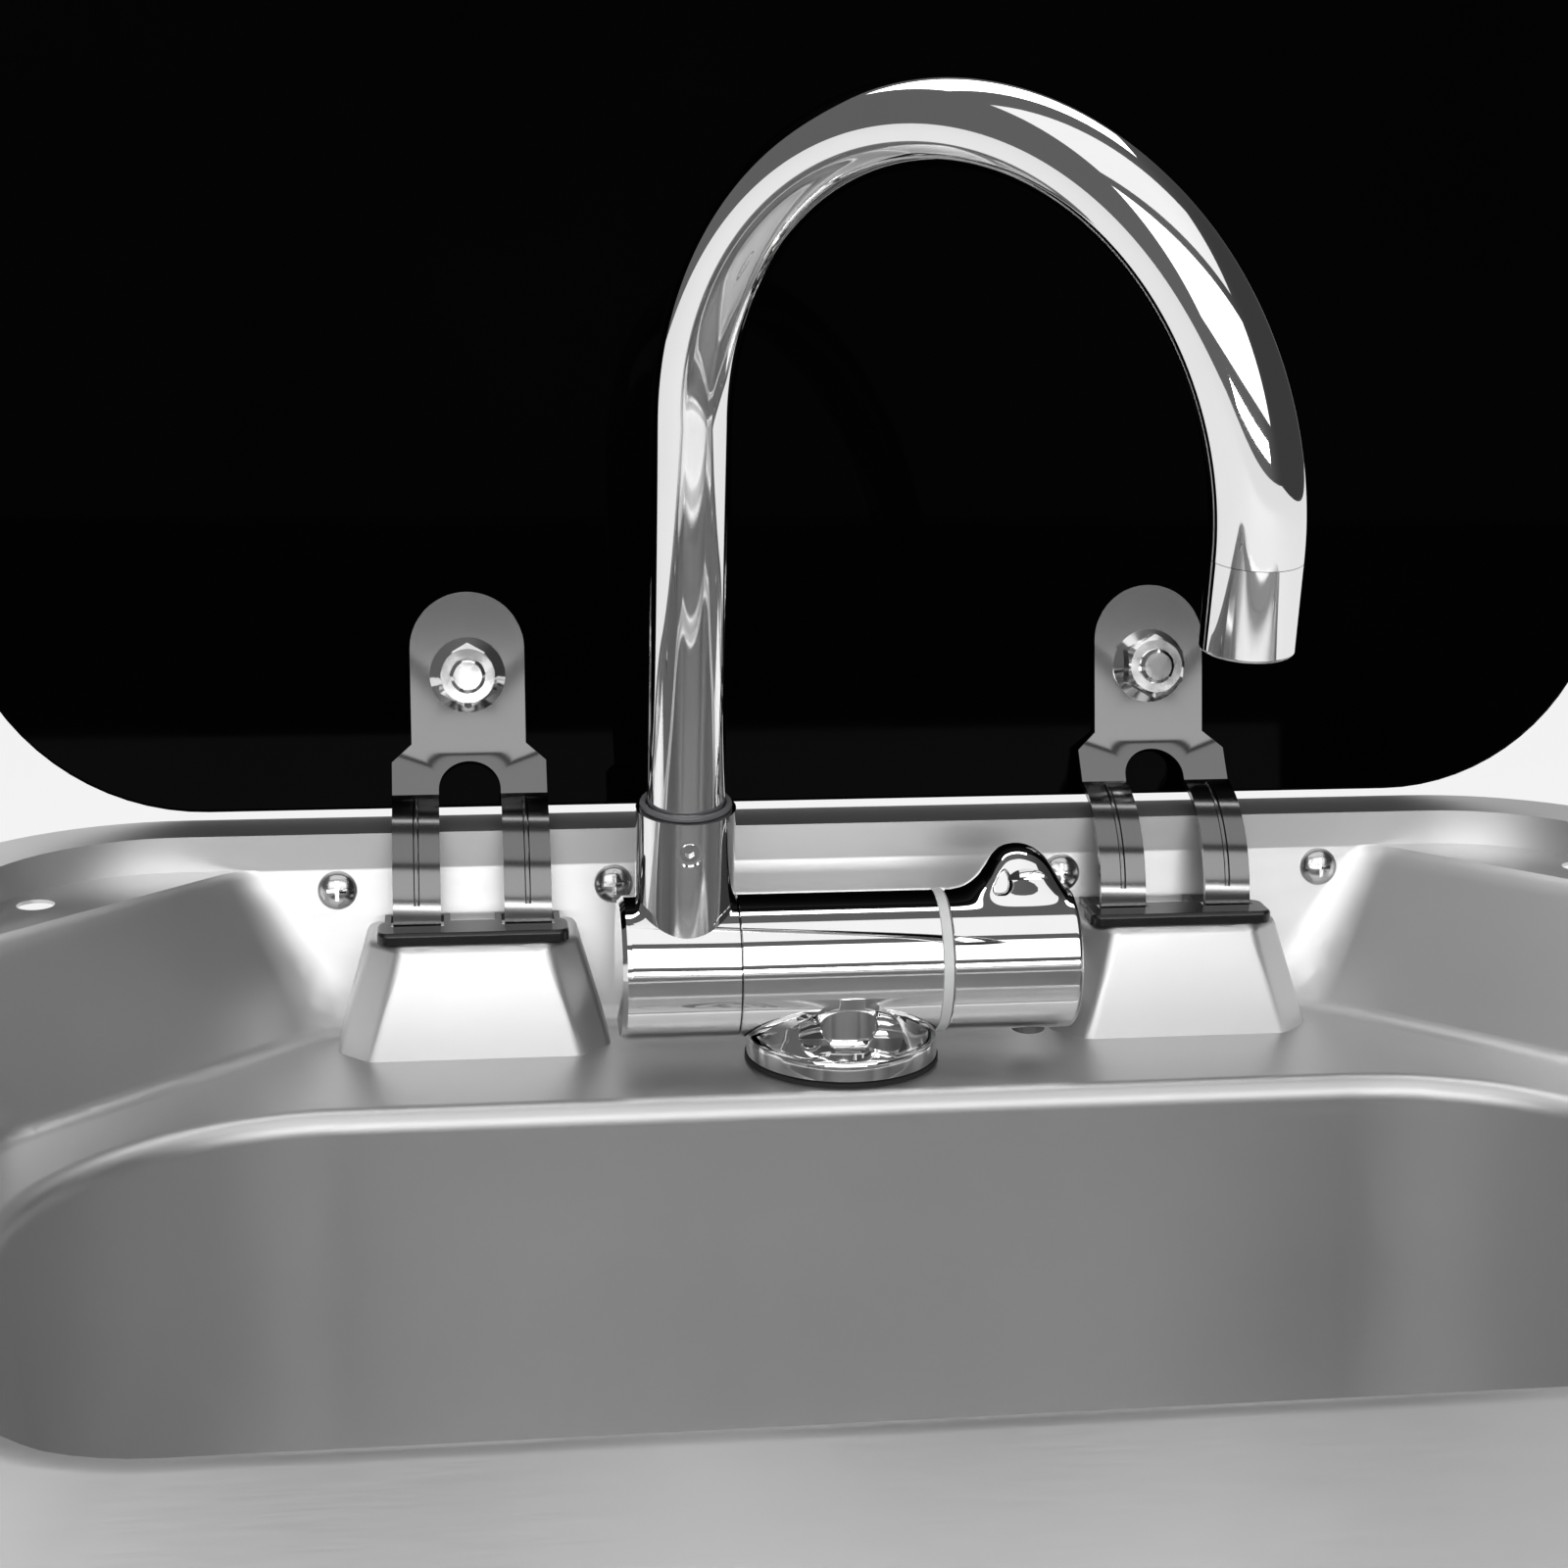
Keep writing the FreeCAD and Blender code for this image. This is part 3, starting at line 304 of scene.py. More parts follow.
# ---- mesh helpers -----------------------------------------------------------
@dataclass
class Bench:
    """What every sub-assembly works with: the loaded frame and the finishes."""

    frame: dict
    finishes: Finishes
    made: list[str] = field(default_factory=list)

    def slot_of(self, node: str) -> str:
        """Material slot that the record gives a node."""
        for part in self.frame["record"]["subparts"]:
            if part["node"] == node:
                return part["material_slot"]
        raise KeyError(node)

    def finish(self, piece: bpy.types.Object, body: Body, nodes: Iterable[str], slot: str) -> bpy.types.Object:
        """Dresses a piece, fixes it to a body and lets it stand for its nodes.

        Args:
            piece: The finished mesh object.
            body: The group it moves with.
            nodes: CAD nodes that it stands for.
            slot: The record's material slot.

        Returns:
            The same piece.
        """
        piece.data.materials.clear()
        piece.data.materials.append(self.finishes.by_slot[slot])
        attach(piece, body.value)
        names = tuple(nodes)
        if names:
            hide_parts(*names)
        self.made.append(piece.name)
        LOG.info("%s: %d faces on %s", piece.name, len(piece.data.polygons), body.value)
        return piece

    def soften(self, node: str, body: Body, angle: float = 32.0) -> bpy.types.Object:
        """Copies a CAD piece, joins its facets and rounds the light on its edges.

        Args:
            node: CAD node to copy.
            body: The group it moves with.
            angle: Edges sharper than this stay crisp, in degrees.

        Returns:
            The new piece, which stands for the node.
        """
        source = self.frame["nodes"][node]
        mesh = source.data.copy()
        mesh.name = node + "_skin"
        work = bmesh.new()
        work.from_mesh(mesh)
        bmesh.ops.remove_doubles(work, verts=work.verts, dist=2e-6)
        bmesh.ops.dissolve_degenerate(work, edges=work.edges, dist=1e-6)
        for face in work.faces:
            face.smooth = True
        limit = math.radians(angle)
        for edge in work.edges:
            edge.smooth = not (len(edge.link_faces) == 2 and edge.calc_face_angle(0.0) > limit)
        work.to_mesh(mesh)
        work.free()
        mesh.attributes.active_color_index = -1
        piece = bpy.data.objects.new(node + "_skin", mesh)
        bpy.context.scene.collection.objects.link(piece)
        even = piece.modifiers.new("even light", "WEIGHTED_NORMAL")
        even.keep_sharp = True
        even.weight = 80
        return self.finish(baked(piece), body, (node,), self.slot_of(node))


def baked(piece: bpy.types.Object) -> bpy.types.Object:
    """Turns an object's evaluated modifiers into its plain mesh."""
    graph = bpy.context.evaluated_depsgraph_get()
    graph.update()
    mesh = bpy.data.meshes.new_from_object(piece.evaluated_get(graph), preserve_all_data_layers=True,
                                           depsgraph=graph)
    piece.modifiers.clear()
    old = piece.data
    piece.data = mesh
    mesh.name = piece.name
    bpy.data.meshes.remove(old)
    return piece


def object_of(name: str, vertices: Sequence[Sequence[float]],
              faces: Sequence[Sequence[int]]) -> bpy.types.Object:
    """Object from points in millimetres and faces, normals made to point outwards.

    Args:
        name: Name of the piece.
        vertices: Points in millimetres.
        faces: Lists of point numbers.

    Returns:
        The linked object.
    """
    mesh = bpy.data.meshes.new(name)
    mesh.from_pydata([[c * MM for c in v] for v in vertices], [], [list(f) for f in faces])
    work = bmesh.new()
    work.from_mesh(mesh)
    bmesh.ops.remove_doubles(work, verts=work.verts, dist=1e-7)
    bmesh.ops.recalc_face_normals(work, faces=work.faces)
    for face in work.faces:
        face.smooth = True
    work.to_mesh(mesh)
    work.free()
    piece = bpy.data.objects.new(name, mesh)
    bpy.context.scene.collection.objects.link(piece)
    return piece


def bands(count: int, spans: int, wrap: int = 0) -> list[list[int]]:
    """Four-sided faces between rings of equal length.

    Args:
        count: Points in a ring.
        spans: Bands between one ring and the next.
        wrap: Number of rings when the last joins the first, or 0.

    Returns:
        Lists of point numbers.
    """
    faces: list[list[int]] = []
    for i in range(spans):
        low, high = i * count, ((i + 1) % wrap if wrap else i + 1) * count
        for j in range(count):
            k = (j + 1) % count
            faces.append([low + j, low + k, high + k, high + j])
    return faces


def swept(name: str, rings: Sequence[Sequence[Point]], closed: bool = False) -> bpy.types.Object:
    """Skin over rings of points.

    Args:
        name: Name of the piece.
        rings: Rings of equal length, in millimetres.
        closed: Joins the last ring to the first, and otherwise both ends are capped.

    Returns:
        The linked object.
    """
    count = len(rings[0])
    vertices = [point for ring in rings for point in ring]
    faces = bands(count, len(rings) if closed else len(rings) - 1, len(rings))
    if not closed:
        faces.append(list(range(count))[::-1])
        faces.append([(len(rings) - 1) * count + j for j in range(count)])
    return object_of(name, vertices, faces)


def lathe(name: str, profile: Sequence[tuple[float, float]], origin: Point, axis: Point,
          steps: int = 96) -> bpy.types.Object:
    """Closed turned piece from (radius, height) points.

    Args:
        name: Name of the piece.
        profile: Radius and height of each ring, a closed loop round the section.
        origin: Foot of the axis in millimetres.
        axis: Direction of the axis.
        steps: Sides of the turning.

    Returns:
        The linked object.
    """
    turn = Vector((0, 0, 1)).rotation_difference(Vector(axis)).to_matrix()
    rings = []
    for step in range(steps):
        angle = 2 * math.pi * step / steps
        ring = [Vector(origin) + turn @ Vector((r * math.cos(angle), r * math.sin(angle), h)) for r, h in profile]
        rings.append([tuple(p) for p in ring])
    return swept(name, rings, closed=True)


def oval_ring(middle: Point, half: Point, rise: float, sides: int) -> list[Point]:
    """Ring of an ellipsoid at a latitude in radians.

    Args:
        middle: Centre in millimetres.
        half: Half sizes along X, Y and Z.
        rise: Latitude of the ring.
        sides: Points in the ring.

    Returns:
        The ring's points.
    """
    reach = math.cos(rise)
    return [(middle[0] + half[0] * reach * math.cos(2 * math.pi * j / sides),
             middle[1] + half[1] * reach * math.sin(2 * math.pi * j / sides),
             middle[2] + half[2] * math.sin(rise)) for j in range(sides)]


def ball(name: str, middle: Point, half: Point) -> bpy.types.Object:
    """Closed ellipsoid from its middle and half sizes."""
    rows, sides = 28, 72
    points = [point for row in range(1, rows)
              for point in oval_ring(middle, half, math.pi * row / rows - math.pi / 2, sides)]
    low, high, last = len(points), len(points) + 1, (rows - 2) * sides
    points += [(middle[0], middle[1], middle[2] - half[2]), (middle[0], middle[1], middle[2] + half[2])]
    faces = bands(sides, rows - 2)
    faces += [[(j + 1) % sides, j, low] for j in range(sides)]
    faces += [[last + j, last + (j + 1) % sides, high] for j in range(sides)]
    return object_of(name, points, faces)


def dome(name: str, middle: Point, half: Point) -> bpy.types.Object:
    """Upper half of an ellipsoid on a flat foot."""
    rows, sides = 14, 40
    points = [point for row in range(rows)
              for point in oval_ring(middle, half, math.pi / 2 * row / rows, sides)]
    top, last = len(points), (rows - 1) * sides
    points.append((middle[0], middle[1], middle[2] + half[2]))
    faces = bands(sides, rows - 1)
    faces += [[last + j, last + (j + 1) % sides, top] for j in range(sides)]
    faces.append(list(range(sides))[::-1])
    return object_of(name, points, faces)


def joined(piece: bpy.types.Object, other: bpy.types.Object, how: str) -> None:
    """Adds another solid to a piece, or takes it away, and drops the other.

    Args:
        piece: The solid that changes.
        other: The solid that is used up.
        how: UNION or DIFFERENCE.
    """
    step = piece.modifiers.new("joined", "BOOLEAN")
    step.operation, step.solver, step.object = how, "EXACT", other
    baked(piece)
    bpy.data.objects.remove(other)


# ---- Geometry Nodes ---------------------------------------------------------
class NodeTree:
    """A Geometry Nodes tree with named inputs."""

    def __init__(self, name: str) -> None:
        """Starts a tree that takes and gives a mesh."""
        self.tree = bpy.data.node_groups.new(name, "GeometryNodeTree")
        self.tree.interface.new_socket("Geometry", in_out="INPUT", socket_type="NodeSocketGeometry")
        self.tree.interface.new_socket("Geometry", in_out="OUTPUT", socket_type="NodeSocketGeometry")
        self.entry = self.tree.nodes.new("NodeGroupInput")
        self.exit = self.tree.nodes.new("NodeGroupOutput")
        self.values: dict[str, object] = {}

    def size(self, name: str, value: float) -> bpy.types.NodeSocket:
        """Adds a named size in metres.

        Args:
            name: Name of the input.
            value: Its value on this piece.

        Returns:
            The socket inside the tree.
        """
        socket = self.tree.interface.new_socket(name, in_out="INPUT", socket_type="NodeSocketFloat")
        self.values[socket.identifier] = value
        return self.entry.outputs[name]

    def node(self, kind: str, **attributes: object) -> bpy.types.Node:
        """Adds a node and sets its attributes."""
        made = self.tree.nodes.new(kind)
        for key, value in attributes.items():
            setattr(made, key, value)
        return made

    def link(self, source: bpy.types.NodeSocket, target: bpy.types.NodeSocket) -> None:
        """Joins two sockets."""
        self.tree.links.new(source, target)

    def vector(self, x: bpy.types.NodeSocket | float, y: bpy.types.NodeSocket | float,
               z: bpy.types.NodeSocket | float) -> bpy.types.NodeSocket:
        """Vector from sockets or numbers."""
        made = self.node("ShaderNodeCombineXYZ")
        for name, value in zip("XYZ", (x, y, z)):
            if isinstance(value, (int, float)):
                made.inputs[name].default_value = value
            else:
                self.link(value, made.inputs[name])
        return made.outputs[0]

    def times(self, source: bpy.types.NodeSocket, factor: float) -> bpy.types.NodeSocket:
        """A size multiplied by a number."""
        made = self.node("ShaderNodeMath", operation="MULTIPLY")
        self.link(source, made.inputs[0])
        made.inputs[1].default_value = factor
        return made.outputs[0]

    def close(self, geometry: bpy.types.NodeSocket, material: bpy.types.Material) -> None:
        """Ends the tree with real, smooth, dressed faces."""
        real = self.node("GeometryNodeRealizeInstances")
        dress = self.node("GeometryNodeSetMaterial")
        dress.inputs["Material"].default_value = material
        self.link(geometry, real.inputs["Geometry"])
        self.link(real.outputs[0], dress.inputs["Geometry"])
        self.link(dress.outputs[0], self.exit.inputs[0])

    def run(self, piece: bpy.types.Object) -> bpy.types.Object:
        """Applies the tree to a piece and leaves a plain mesh."""
        modifier = piece.modifiers.new(self.tree.name, "NODES")
        modifier.node_group = self.tree
        for identifier, value in self.values.items():
            modifier[identifier] = value
        return baked(piece)


# ---- the steel sink ---------------------------------------------------------
@dataclass
class SteelSink:
    """Pressed bowl with its seal, wall screws and hinge guides."""

    bench: Bench
    head_radius: float = 4.4
    head_height: float = 2.6
    recess_reach: float = 2.3
    recess_width: float = 0.85
    recess_depth: float = 1.9
    shank_radius: float = 1.9
    shank_length: float = 15.0
    wall: tuple[float, float] = (185.0, 165.0)
    drafts: tuple[float, float] = (7.0, 6.0)
    row: tuple[float, ...] = (-110.0, -48.0, 56.0, 118.0)
    sides: tuple[float, ...] = (-10.0, 70.0)
    screw_z: float = -10.8
    shelf_z: float = -6.0
    ledge_z: float = -42.0

    def screw_places(self) -> list[tuple[Vector, Vector]]:
        """Foot and outward direction of each screw, on the drafted walls."""
        share = (self.shelf_z - self.screw_z) / (self.shelf_z - self.ledge_z)
        rise = self.shelf_z - self.ledge_z
        out = Vector((0, rise, -self.drafts[1])).normalized()
        back = self.wall[1] - self.drafts[1] * share
        places: list[tuple[Vector, Vector]] = [(Vector((x, back, self.screw_z)), out) for x in self.row]
        for sign in (1, -1):
            out = Vector((sign * rise, 0, -self.drafts[0])).normalized()
            for y in self.sides:
                places.append((Vector((sign * (self.wall[0] - self.drafts[0] * share), y, self.screw_z)), out))
        return places

    def screws(self) -> None:
        """Pan-head screws on their places, made by one tree."""
        places = self.screw_places()
        mesh = bpy.data.meshes.new("wall_screws")
        mesh.from_pydata([foot * MM for foot, _ in places], [], [])
        outward = mesh.attributes.new("outward", "FLOAT_VECTOR", "POINT")
        outward.data.foreach_set("vector", [c for _, out in places for c in out])
        piece = bpy.data.objects.new("wall_screws", mesh)
        bpy.context.scene.collection.objects.link(piece)
        tree = NodeTree("wall screws")
        radius = tree.size("Head radius", self.head_radius * MM)
        height = tree.size("Head height", self.head_height * MM)
        reach = tree.size("Recess reach", self.recess_reach * MM)
        width = tree.size("Recess width", self.recess_width * MM)
        depth = tree.size("Recess depth", self.recess_depth * MM)
        shank = tree.size("Shank radius", self.shank_radius * MM)
        length = tree.size("Shank length", self.shank_length * MM)
        ball = tree.node("GeometryNodeMeshUVSphere")
        ball.inputs["Segments"].default_value = 40
        ball.inputs["Rings"].default_value = 20
        ball.inputs["Radius"].default_value = 1.0
        shape = tree.node("GeometryNodeTransform")
        tree.link(ball.outputs["Mesh"], shape.inputs["Geometry"])
        tree.link(tree.vector(radius, radius, height), shape.inputs["Scale"])
        block = tree.node("GeometryNodeMeshCube")
        wide = tree.times(radius, 3.0)
        tree.link(tree.vector(wide, wide, wide), block.inputs["Size"])
        lower = tree.node("GeometryNodeTransform")
        tree.link(block.outputs["Mesh"], lower.inputs["Geometry"])
        tree.link(tree.vector(0.0, 0.0, tree.times(wide, 0.5)), lower.inputs["Translation"])
        cutters = [lower.outputs[0]]
        for turn in (0.0, math.pi / 2):
            bar = tree.node("GeometryNodeMeshCube")
            tree.link(tree.vector(tree.times(reach, 2.0), width, depth), bar.inputs["Size"])
            place = tree.node("GeometryNodeTransform")
            place.inputs["Rotation"].default_value = (0.0, 0.0, turn)
            tree.link(bar.outputs["Mesh"], place.inputs["Geometry"])
            tree.link(tree.vector(0.0, 0.0, tree.times(height, -1.0)), place.inputs["Translation"])
            cutters.append(place.outputs[0])
        cut = tree.node("GeometryNodeMeshBoolean", operation="DIFFERENCE")
        tree.link(shape.outputs[0], cut.inputs["Mesh 1"])
        for cutter in cutters:
            tree.link(cutter, cut.inputs["Mesh 2"])
        rod = tree.node("GeometryNodeMeshCylinder")
        rod.inputs["Vertices"].default_value = 20
        tree.link(shank, rod.inputs["Radius"])
        tree.link(length, rod.inputs["Depth"])
        down = tree.node("GeometryNodeTransform")
        tree.link(rod.outputs["Mesh"], down.inputs["Geometry"])
        tree.link(tree.vector(0.0, 0.0, tree.times(length, 0.5)), down.inputs["Translation"])
        joined = tree.node("GeometryNodeJoinGeometry")
        tree.link(cut.outputs["Mesh"], joined.inputs[0])
        tree.link(down.outputs[0], joined.inputs[0])
        soft = tree.node("GeometryNodeSetShadeSmooth")
        tree.link(joined.outputs[0], soft.inputs["Geometry"])
        attribute = tree.node("GeometryNodeInputNamedAttribute", data_type="FLOAT_VECTOR")
        attribute.inputs["Name"].default_value = "outward"
        align = tree.node("FunctionNodeAlignEulerToVector", axis="Z")
        tree.link(attribute.outputs["Attribute"], align.inputs["Vector"])
        scatter = tree.node("GeometryNodeInstanceOnPoints")
        tree.link(tree.entry.outputs[0], scatter.inputs["Points"])
        tree.link(soft.outputs[0], scatter.inputs["Instance"])
        tree.link(align.outputs[0], scatter.inputs["Rotation"])
        tree.close(scatter.outputs[0], self.bench.finishes.screw)
        tree.run(piece)
        crisp(piece, 38.0)
        self.bench.finish(piece, Body.SINK, ("fixing_screws",), "screw_steel")

    def build(self) -> None:
        """Makes the bowl, seal, guides and screws."""
        self.bench.soften("sink_bowl", Body.SINK, 34.0)
        self.bench.soften("rim_seal", Body.SINK)
        for side in ("left", "right"):
            self.bench.soften("hinge_guide_" + side, Body.SINK, 30.0)
        self.screws()


def crisp(piece: bpy.types.Object, angle: float) -> None:
    """Smooths a mesh but keeps edges sharper than an angle in degrees."""
    work = bmesh.new()
    work.from_mesh(piece.data)
    bmesh.ops.remove_doubles(work, verts=work.verts, dist=1e-7)
    for face in work.faces:
        face.smooth = True
    for edge in work.edges:
        edge.smooth = not (len(edge.link_faces) == 2 and edge.calc_face_angle(0.0) > math.radians(angle))
    work.to_mesh(piece.data)
    work.free()


# ---- the lid ----------------------------------------------------------------
@dataclass
class GlassLid:
    """Black glass on two forked arms, drawn closed and swung open."""

    bench: Bench
    axis: tuple[float, float] = (162.6, -10.2)
    angle: float = -100.0
    spacing: float = 160.0
    arc_centre: tuple[float, float] = (166.5, 4.6)
    arc_radius: float = 25.7
    rib_from: float = 203.0
    rib_to: float = 268.0
    leg_offset: float = 12.25
    rib_width: float = 1.3
    rib_height: float = 0.25

    def opened(self, x: float, y: float, z: float) -> Vector:
        """Place of a point of the closed lid when the lid stands open."""
        turn = Matrix.Rotation(math.radians(self.angle), 3, "X")
        hinge = Vector((0.0, *self.axis))
        return turn @ (Vector((x, y, z)) - hinge) + hinge

    def ribs(self) -> None:
        """Raised line along each leg, swept along its arc by one tree."""
        mesh = bpy.data.meshes.new("leg_ribs")
        points: list[Vector] = []
        edges: list[tuple[int, int]] = []
        steps = 40
        for side in (-1, 1):
            for leg in (-1, 1):
                x = side * self.spacing / 2 + leg * self.leg_offset
                for step in range(steps + 1):
                    angle = math.radians(self.rib_from + (self.rib_to - self.rib_from) * step / steps)
                    y = self.arc_centre[0] + self.arc_radius * math.cos(angle)
                    z = self.arc_centre[1] + self.arc_radius * math.sin(angle)
                    points.append(self.opened(x, y, z) * MM)
                    if step:
                        edges.append((len(points) - 2, len(points) - 1))
        mesh.from_pydata(points, edges, [])
        piece = bpy.data.objects.new("leg_ribs", mesh)
        bpy.context.scene.collection.objects.link(piece)
        tree = NodeTree("leg ribs")
        width = tree.size("Rib half width", self.rib_width * MM / 2)
        height = tree.size("Rib height", self.rib_height * MM)
        path = tree.node("GeometryNodeMeshToCurve")
        tree.link(tree.entry.outputs[0], path.inputs["Mesh"])
        ring = tree.node("GeometryNodeCurvePrimitiveCircle", mode="RADIUS")
        ring.inputs["Resolution"].default_value = 14
        ring.inputs["Radius"].default_value = 1.0
        flat = tree.node("GeometryNodeTransform")
        tree.link(ring.outputs["Curve"], flat.inputs["Geometry"])
        tree.link(tree.vector(width, height, 1.0), flat.inputs["Scale"])
        sweep = tree.node("GeometryNodeCurveToMesh")
        sweep.inputs["Fill Caps"].default_value = True
        tree.link(path.outputs["Curve"], sweep.inputs["Curve"])
        tree.link(flat.outputs[0], sweep.inputs["Profile Curve"])
        soft = tree.node("GeometryNodeSetShadeSmooth")
        tree.link(sweep.outputs[0], soft.inputs["Geometry"])
        tree.close(soft.outputs[0], self.bench.finishes.arm)
        tree.run(piece)
        self.bench.finish(piece, Body.LID, (), "arm_steel")

    def build(self) -> None:
        """Makes the glass, arms, pads, nuts, studs and feet."""
        self.bench.soften("lid_glass", Body.LID, 20.0)
        for side in ("left", "right"):
            self.bench.soften("hinge_arm_" + side, Body.LID, 32.0)
            self.bench.soften("hinge_pad_" + side, Body.LID, 30.0)
            self.bench.soften("hinge_nut_" + side, Body.LID, 24.0)
        for node in ("lid_studs", "stud_washers", "lid_bumpers"):
            self.bench.soften(node, Body.LID, 30.0)
        self.ribs()


# ---- the tap ----------------------------------------------------------------
@dataclass
class FoldingTap:
    """Horizontal barrel with its base, lever, folding elbow and arched spout."""

    bench: Bench
    spout_x: float = -35.0
    tap_y: float = 131.5
    barrel_z: float = -20.4
    lean: float = 8.0
    turn: float = 48.0
    collar_height: float = 37.5
    tube_seat: float = 29.5
    tube_radius: float = 8.25
    tube_wall: float = 1.2
    straight: float = 121.0
    bend: float = 65.2
    ring_radius: float = 0.7
    barrel_radius: float = 15.7
    seam_x: float = -23.6
    washer_x: float = 19.7
    socket_depth: float = 9.0
    spindle_radius: float = 7.1
    cartridge_radius: float = 12.0
    pinhole: float = 0.5
    flange_foot: float = -41.0
    flange_top: float = -36.4
    flange_radius: float = 21.0
    core_radius: float = 12.3
    shank_radius: float = 16.5
    shank_bore: float = 12.0
    shank_length: float = 48.0
    scoop_reach: float = 19.5
    scoop_lift: float = 4.6
    scoop_half: Point = (14.6, 10.0, 6.0)
    handle_span: tuple[float, float] = (22.0, 50.4)
    handle_round: float = 1.1
    lug_knots: tuple[tuple[float, float], ...] = (
        (24.0, 0.0), (27.0, 0.6), (29.5, 2.1), (31.5, 4.4), (33.5, 7.1), (35.5, 8.8), (38.4, 9.5),
        (41.0, 9.2), (43.2, 8.3), (45.2, 6.6), (46.8, 4.1), (48.0, 1.8), (49.0, 0.0))
    lug_lean: float = 14.0
    lug_front: float = 46.0
    lug_back: float = 30.0
    lug_power: float = 2.2
    hollow_place: Point = (40.2, -4.4, 18.7)
    hollow_half: Point = (5.0, 2.6, 3.4)

    def leaned(self, x: float, y: float, z: float) -> Vector:
        """Place of a point given from the spout's foot, after the lean."""
        tilt = Matrix.Rotation(math.radians(self.lean), 3, "X")
        return tilt @ Vector((x, y, z)) + Vector((self.spout_x, self.tap_y, self.barrel_z))

    def swung(self, x: float, y: float, z: float) -> Vector:
        """Place of a point of the arch, drawn along +X, at rest."""
        spin = Matrix.Rotation(math.radians(-self.turn), 3, "Z")
        return self.leaned(*(spin @ Vector((x, y, z))))

    def tube(self) -> None:
        """Arched tube with an open, thin-walled end."""
        path: list[tuple[Vector, Vector]] = []
        foot = self.collar_height - self.tube_seat
        for step in range(13):
            height = foot + (self.straight - foot) * step / 12
            path.append((Vector((0, 0, height)), Vector((1, 0, 0))))
        steps = 120
        for step in range(1, steps + 1):
            angle = math.pi * step / steps
            place = Vector((self.bend - self.bend * math.cos(angle), 0,
                            self.straight + self.bend * math.sin(angle)))
            path.append((place, Vector((math.cos(angle), 0, -math.sin(angle)))))
        sides = 72
        outer = self.rings(path, self.tube_radius, sides)
        inner = self.rings(path, self.tube_radius - self.tube_wall, sides)[::-1]
        piece = swept("spout_tube_skin", outer + inner, closed=True)
        crisp(piece, 50.0)
        self.bench.finish(piece, Body.SPOUT, ("spout_tube",), "tap_chrome")

    def rings(self, path: Sequence[tuple[Vector, Vector]], radius: float, sides: int) -> list[list[Point]]:
        """Rings of points round a path that lies in the arch's plane."""
        rings: list[list[Point]] = []
        for place, side in path:
            ring = []
            for j in range(sides):
                angle = 2 * math.pi * j / sides
                point = place + side * (radius * math.cos(angle)) + Vector((0, radius * math.sin(angle), 0))
                ring.append(tuple(self.swung(*point)))
            rings.append(ring)
        return rings

    def collar_ring(self) -> None:
        """Soft ring where the tube leaves the collar."""
        middle = self.tube_radius + 0.2 + self.ring_radius
        section = [(middle + self.ring_radius * math.cos(a), 0.8 + self.ring_radius * math.sin(a))
                   for a in (2 * math.pi * k / 20 for k in range(20))]
        origin = self.leaned(0, 0, self.collar_height)
        axis = self.leaned(0, 0, self.collar_height + 1) - origin
        piece = lathe("collar_ring", section, tuple(origin), tuple(axis), 72)
        self.bench.finish(piece, Body.ELBOW, ("collar_o_ring",), "grey_plastic")

    def base(self) -> None:
        """Round flange, carved neck and the barrel's middle, in one skin."""
        foot, top, core = self.flange_foot, self.flange_top, self.core_radius
        shank, bore, edge = self.shank_radius, self.shank_bore, self.flange_radius
        stand = lathe("tap_base_skin", [
            (bore, foot - self.shank_length), (shank, foot - self.shank_length), (shank, foot),
            (edge - 0.4, foot), (edge, foot + 0.4), (edge, top - 0.9), (edge - 0.3, top - 0.25),
            (edge - 0.9, top), (core + 2.3, top), (core + 1.0, top + 0.35), (core + 0.25, top + 1.2),
            (core, top + 2.6), (core, top + 13.0), (self.pinhole, top + 13.0),
            (self.pinhole, foot - 6.0), (bore, foot - 6.0)],
            (0.0, self.tap_y, 0.0), (0.0, 0.0, 1.0), 120)
        cone = lathe("tap_neck", [
            (0.6, top - 0.7), (19.4, top - 0.7), (19.0, top + 0.6), (18.0, top + 2.4), (17.0, top + 5.0),
            (16.2, top + 8.5), (15.6, top + 12.4), (0.6, top + 12.4)],
            (0.0, self.tap_y, 0.0), (0.0, 0.0, 1.0), 120)
        left, right, outer, depth = self.seam_x, self.washer_x, self.barrel_radius, self.socket_depth
        tube = lathe("tap_barrel", [
            (self.pinhole, left + depth), (self.spindle_radius, left + depth), (self.spindle_radius, left),
            (outer - 0.2, left), (outer, left + 0.2), (outer, right - 0.2), (outer - 0.2, right),
            (self.cartridge_radius, right), (self.cartridge_radius, right - depth),
            (self.pinhole, right - depth)], (0.0, self.tap_y, self.barrel_z), (1.0, 0.0, 0.0), 180)
        joined(cone, tube, "UNION")
        for sign in (-1, 1):
            middle = (0.0, self.tap_y + sign * self.scoop_reach, top + self.scoop_lift)
            joined(cone, ball("tap_scoop", middle, self.scoop_half), "DIFFERENCE")
        joined(stand, cone, "UNION")
        crisp(stand, 34.0)
        self.bench.finish(stand, Body.SINK, ("tap_base",), "tap_chrome")

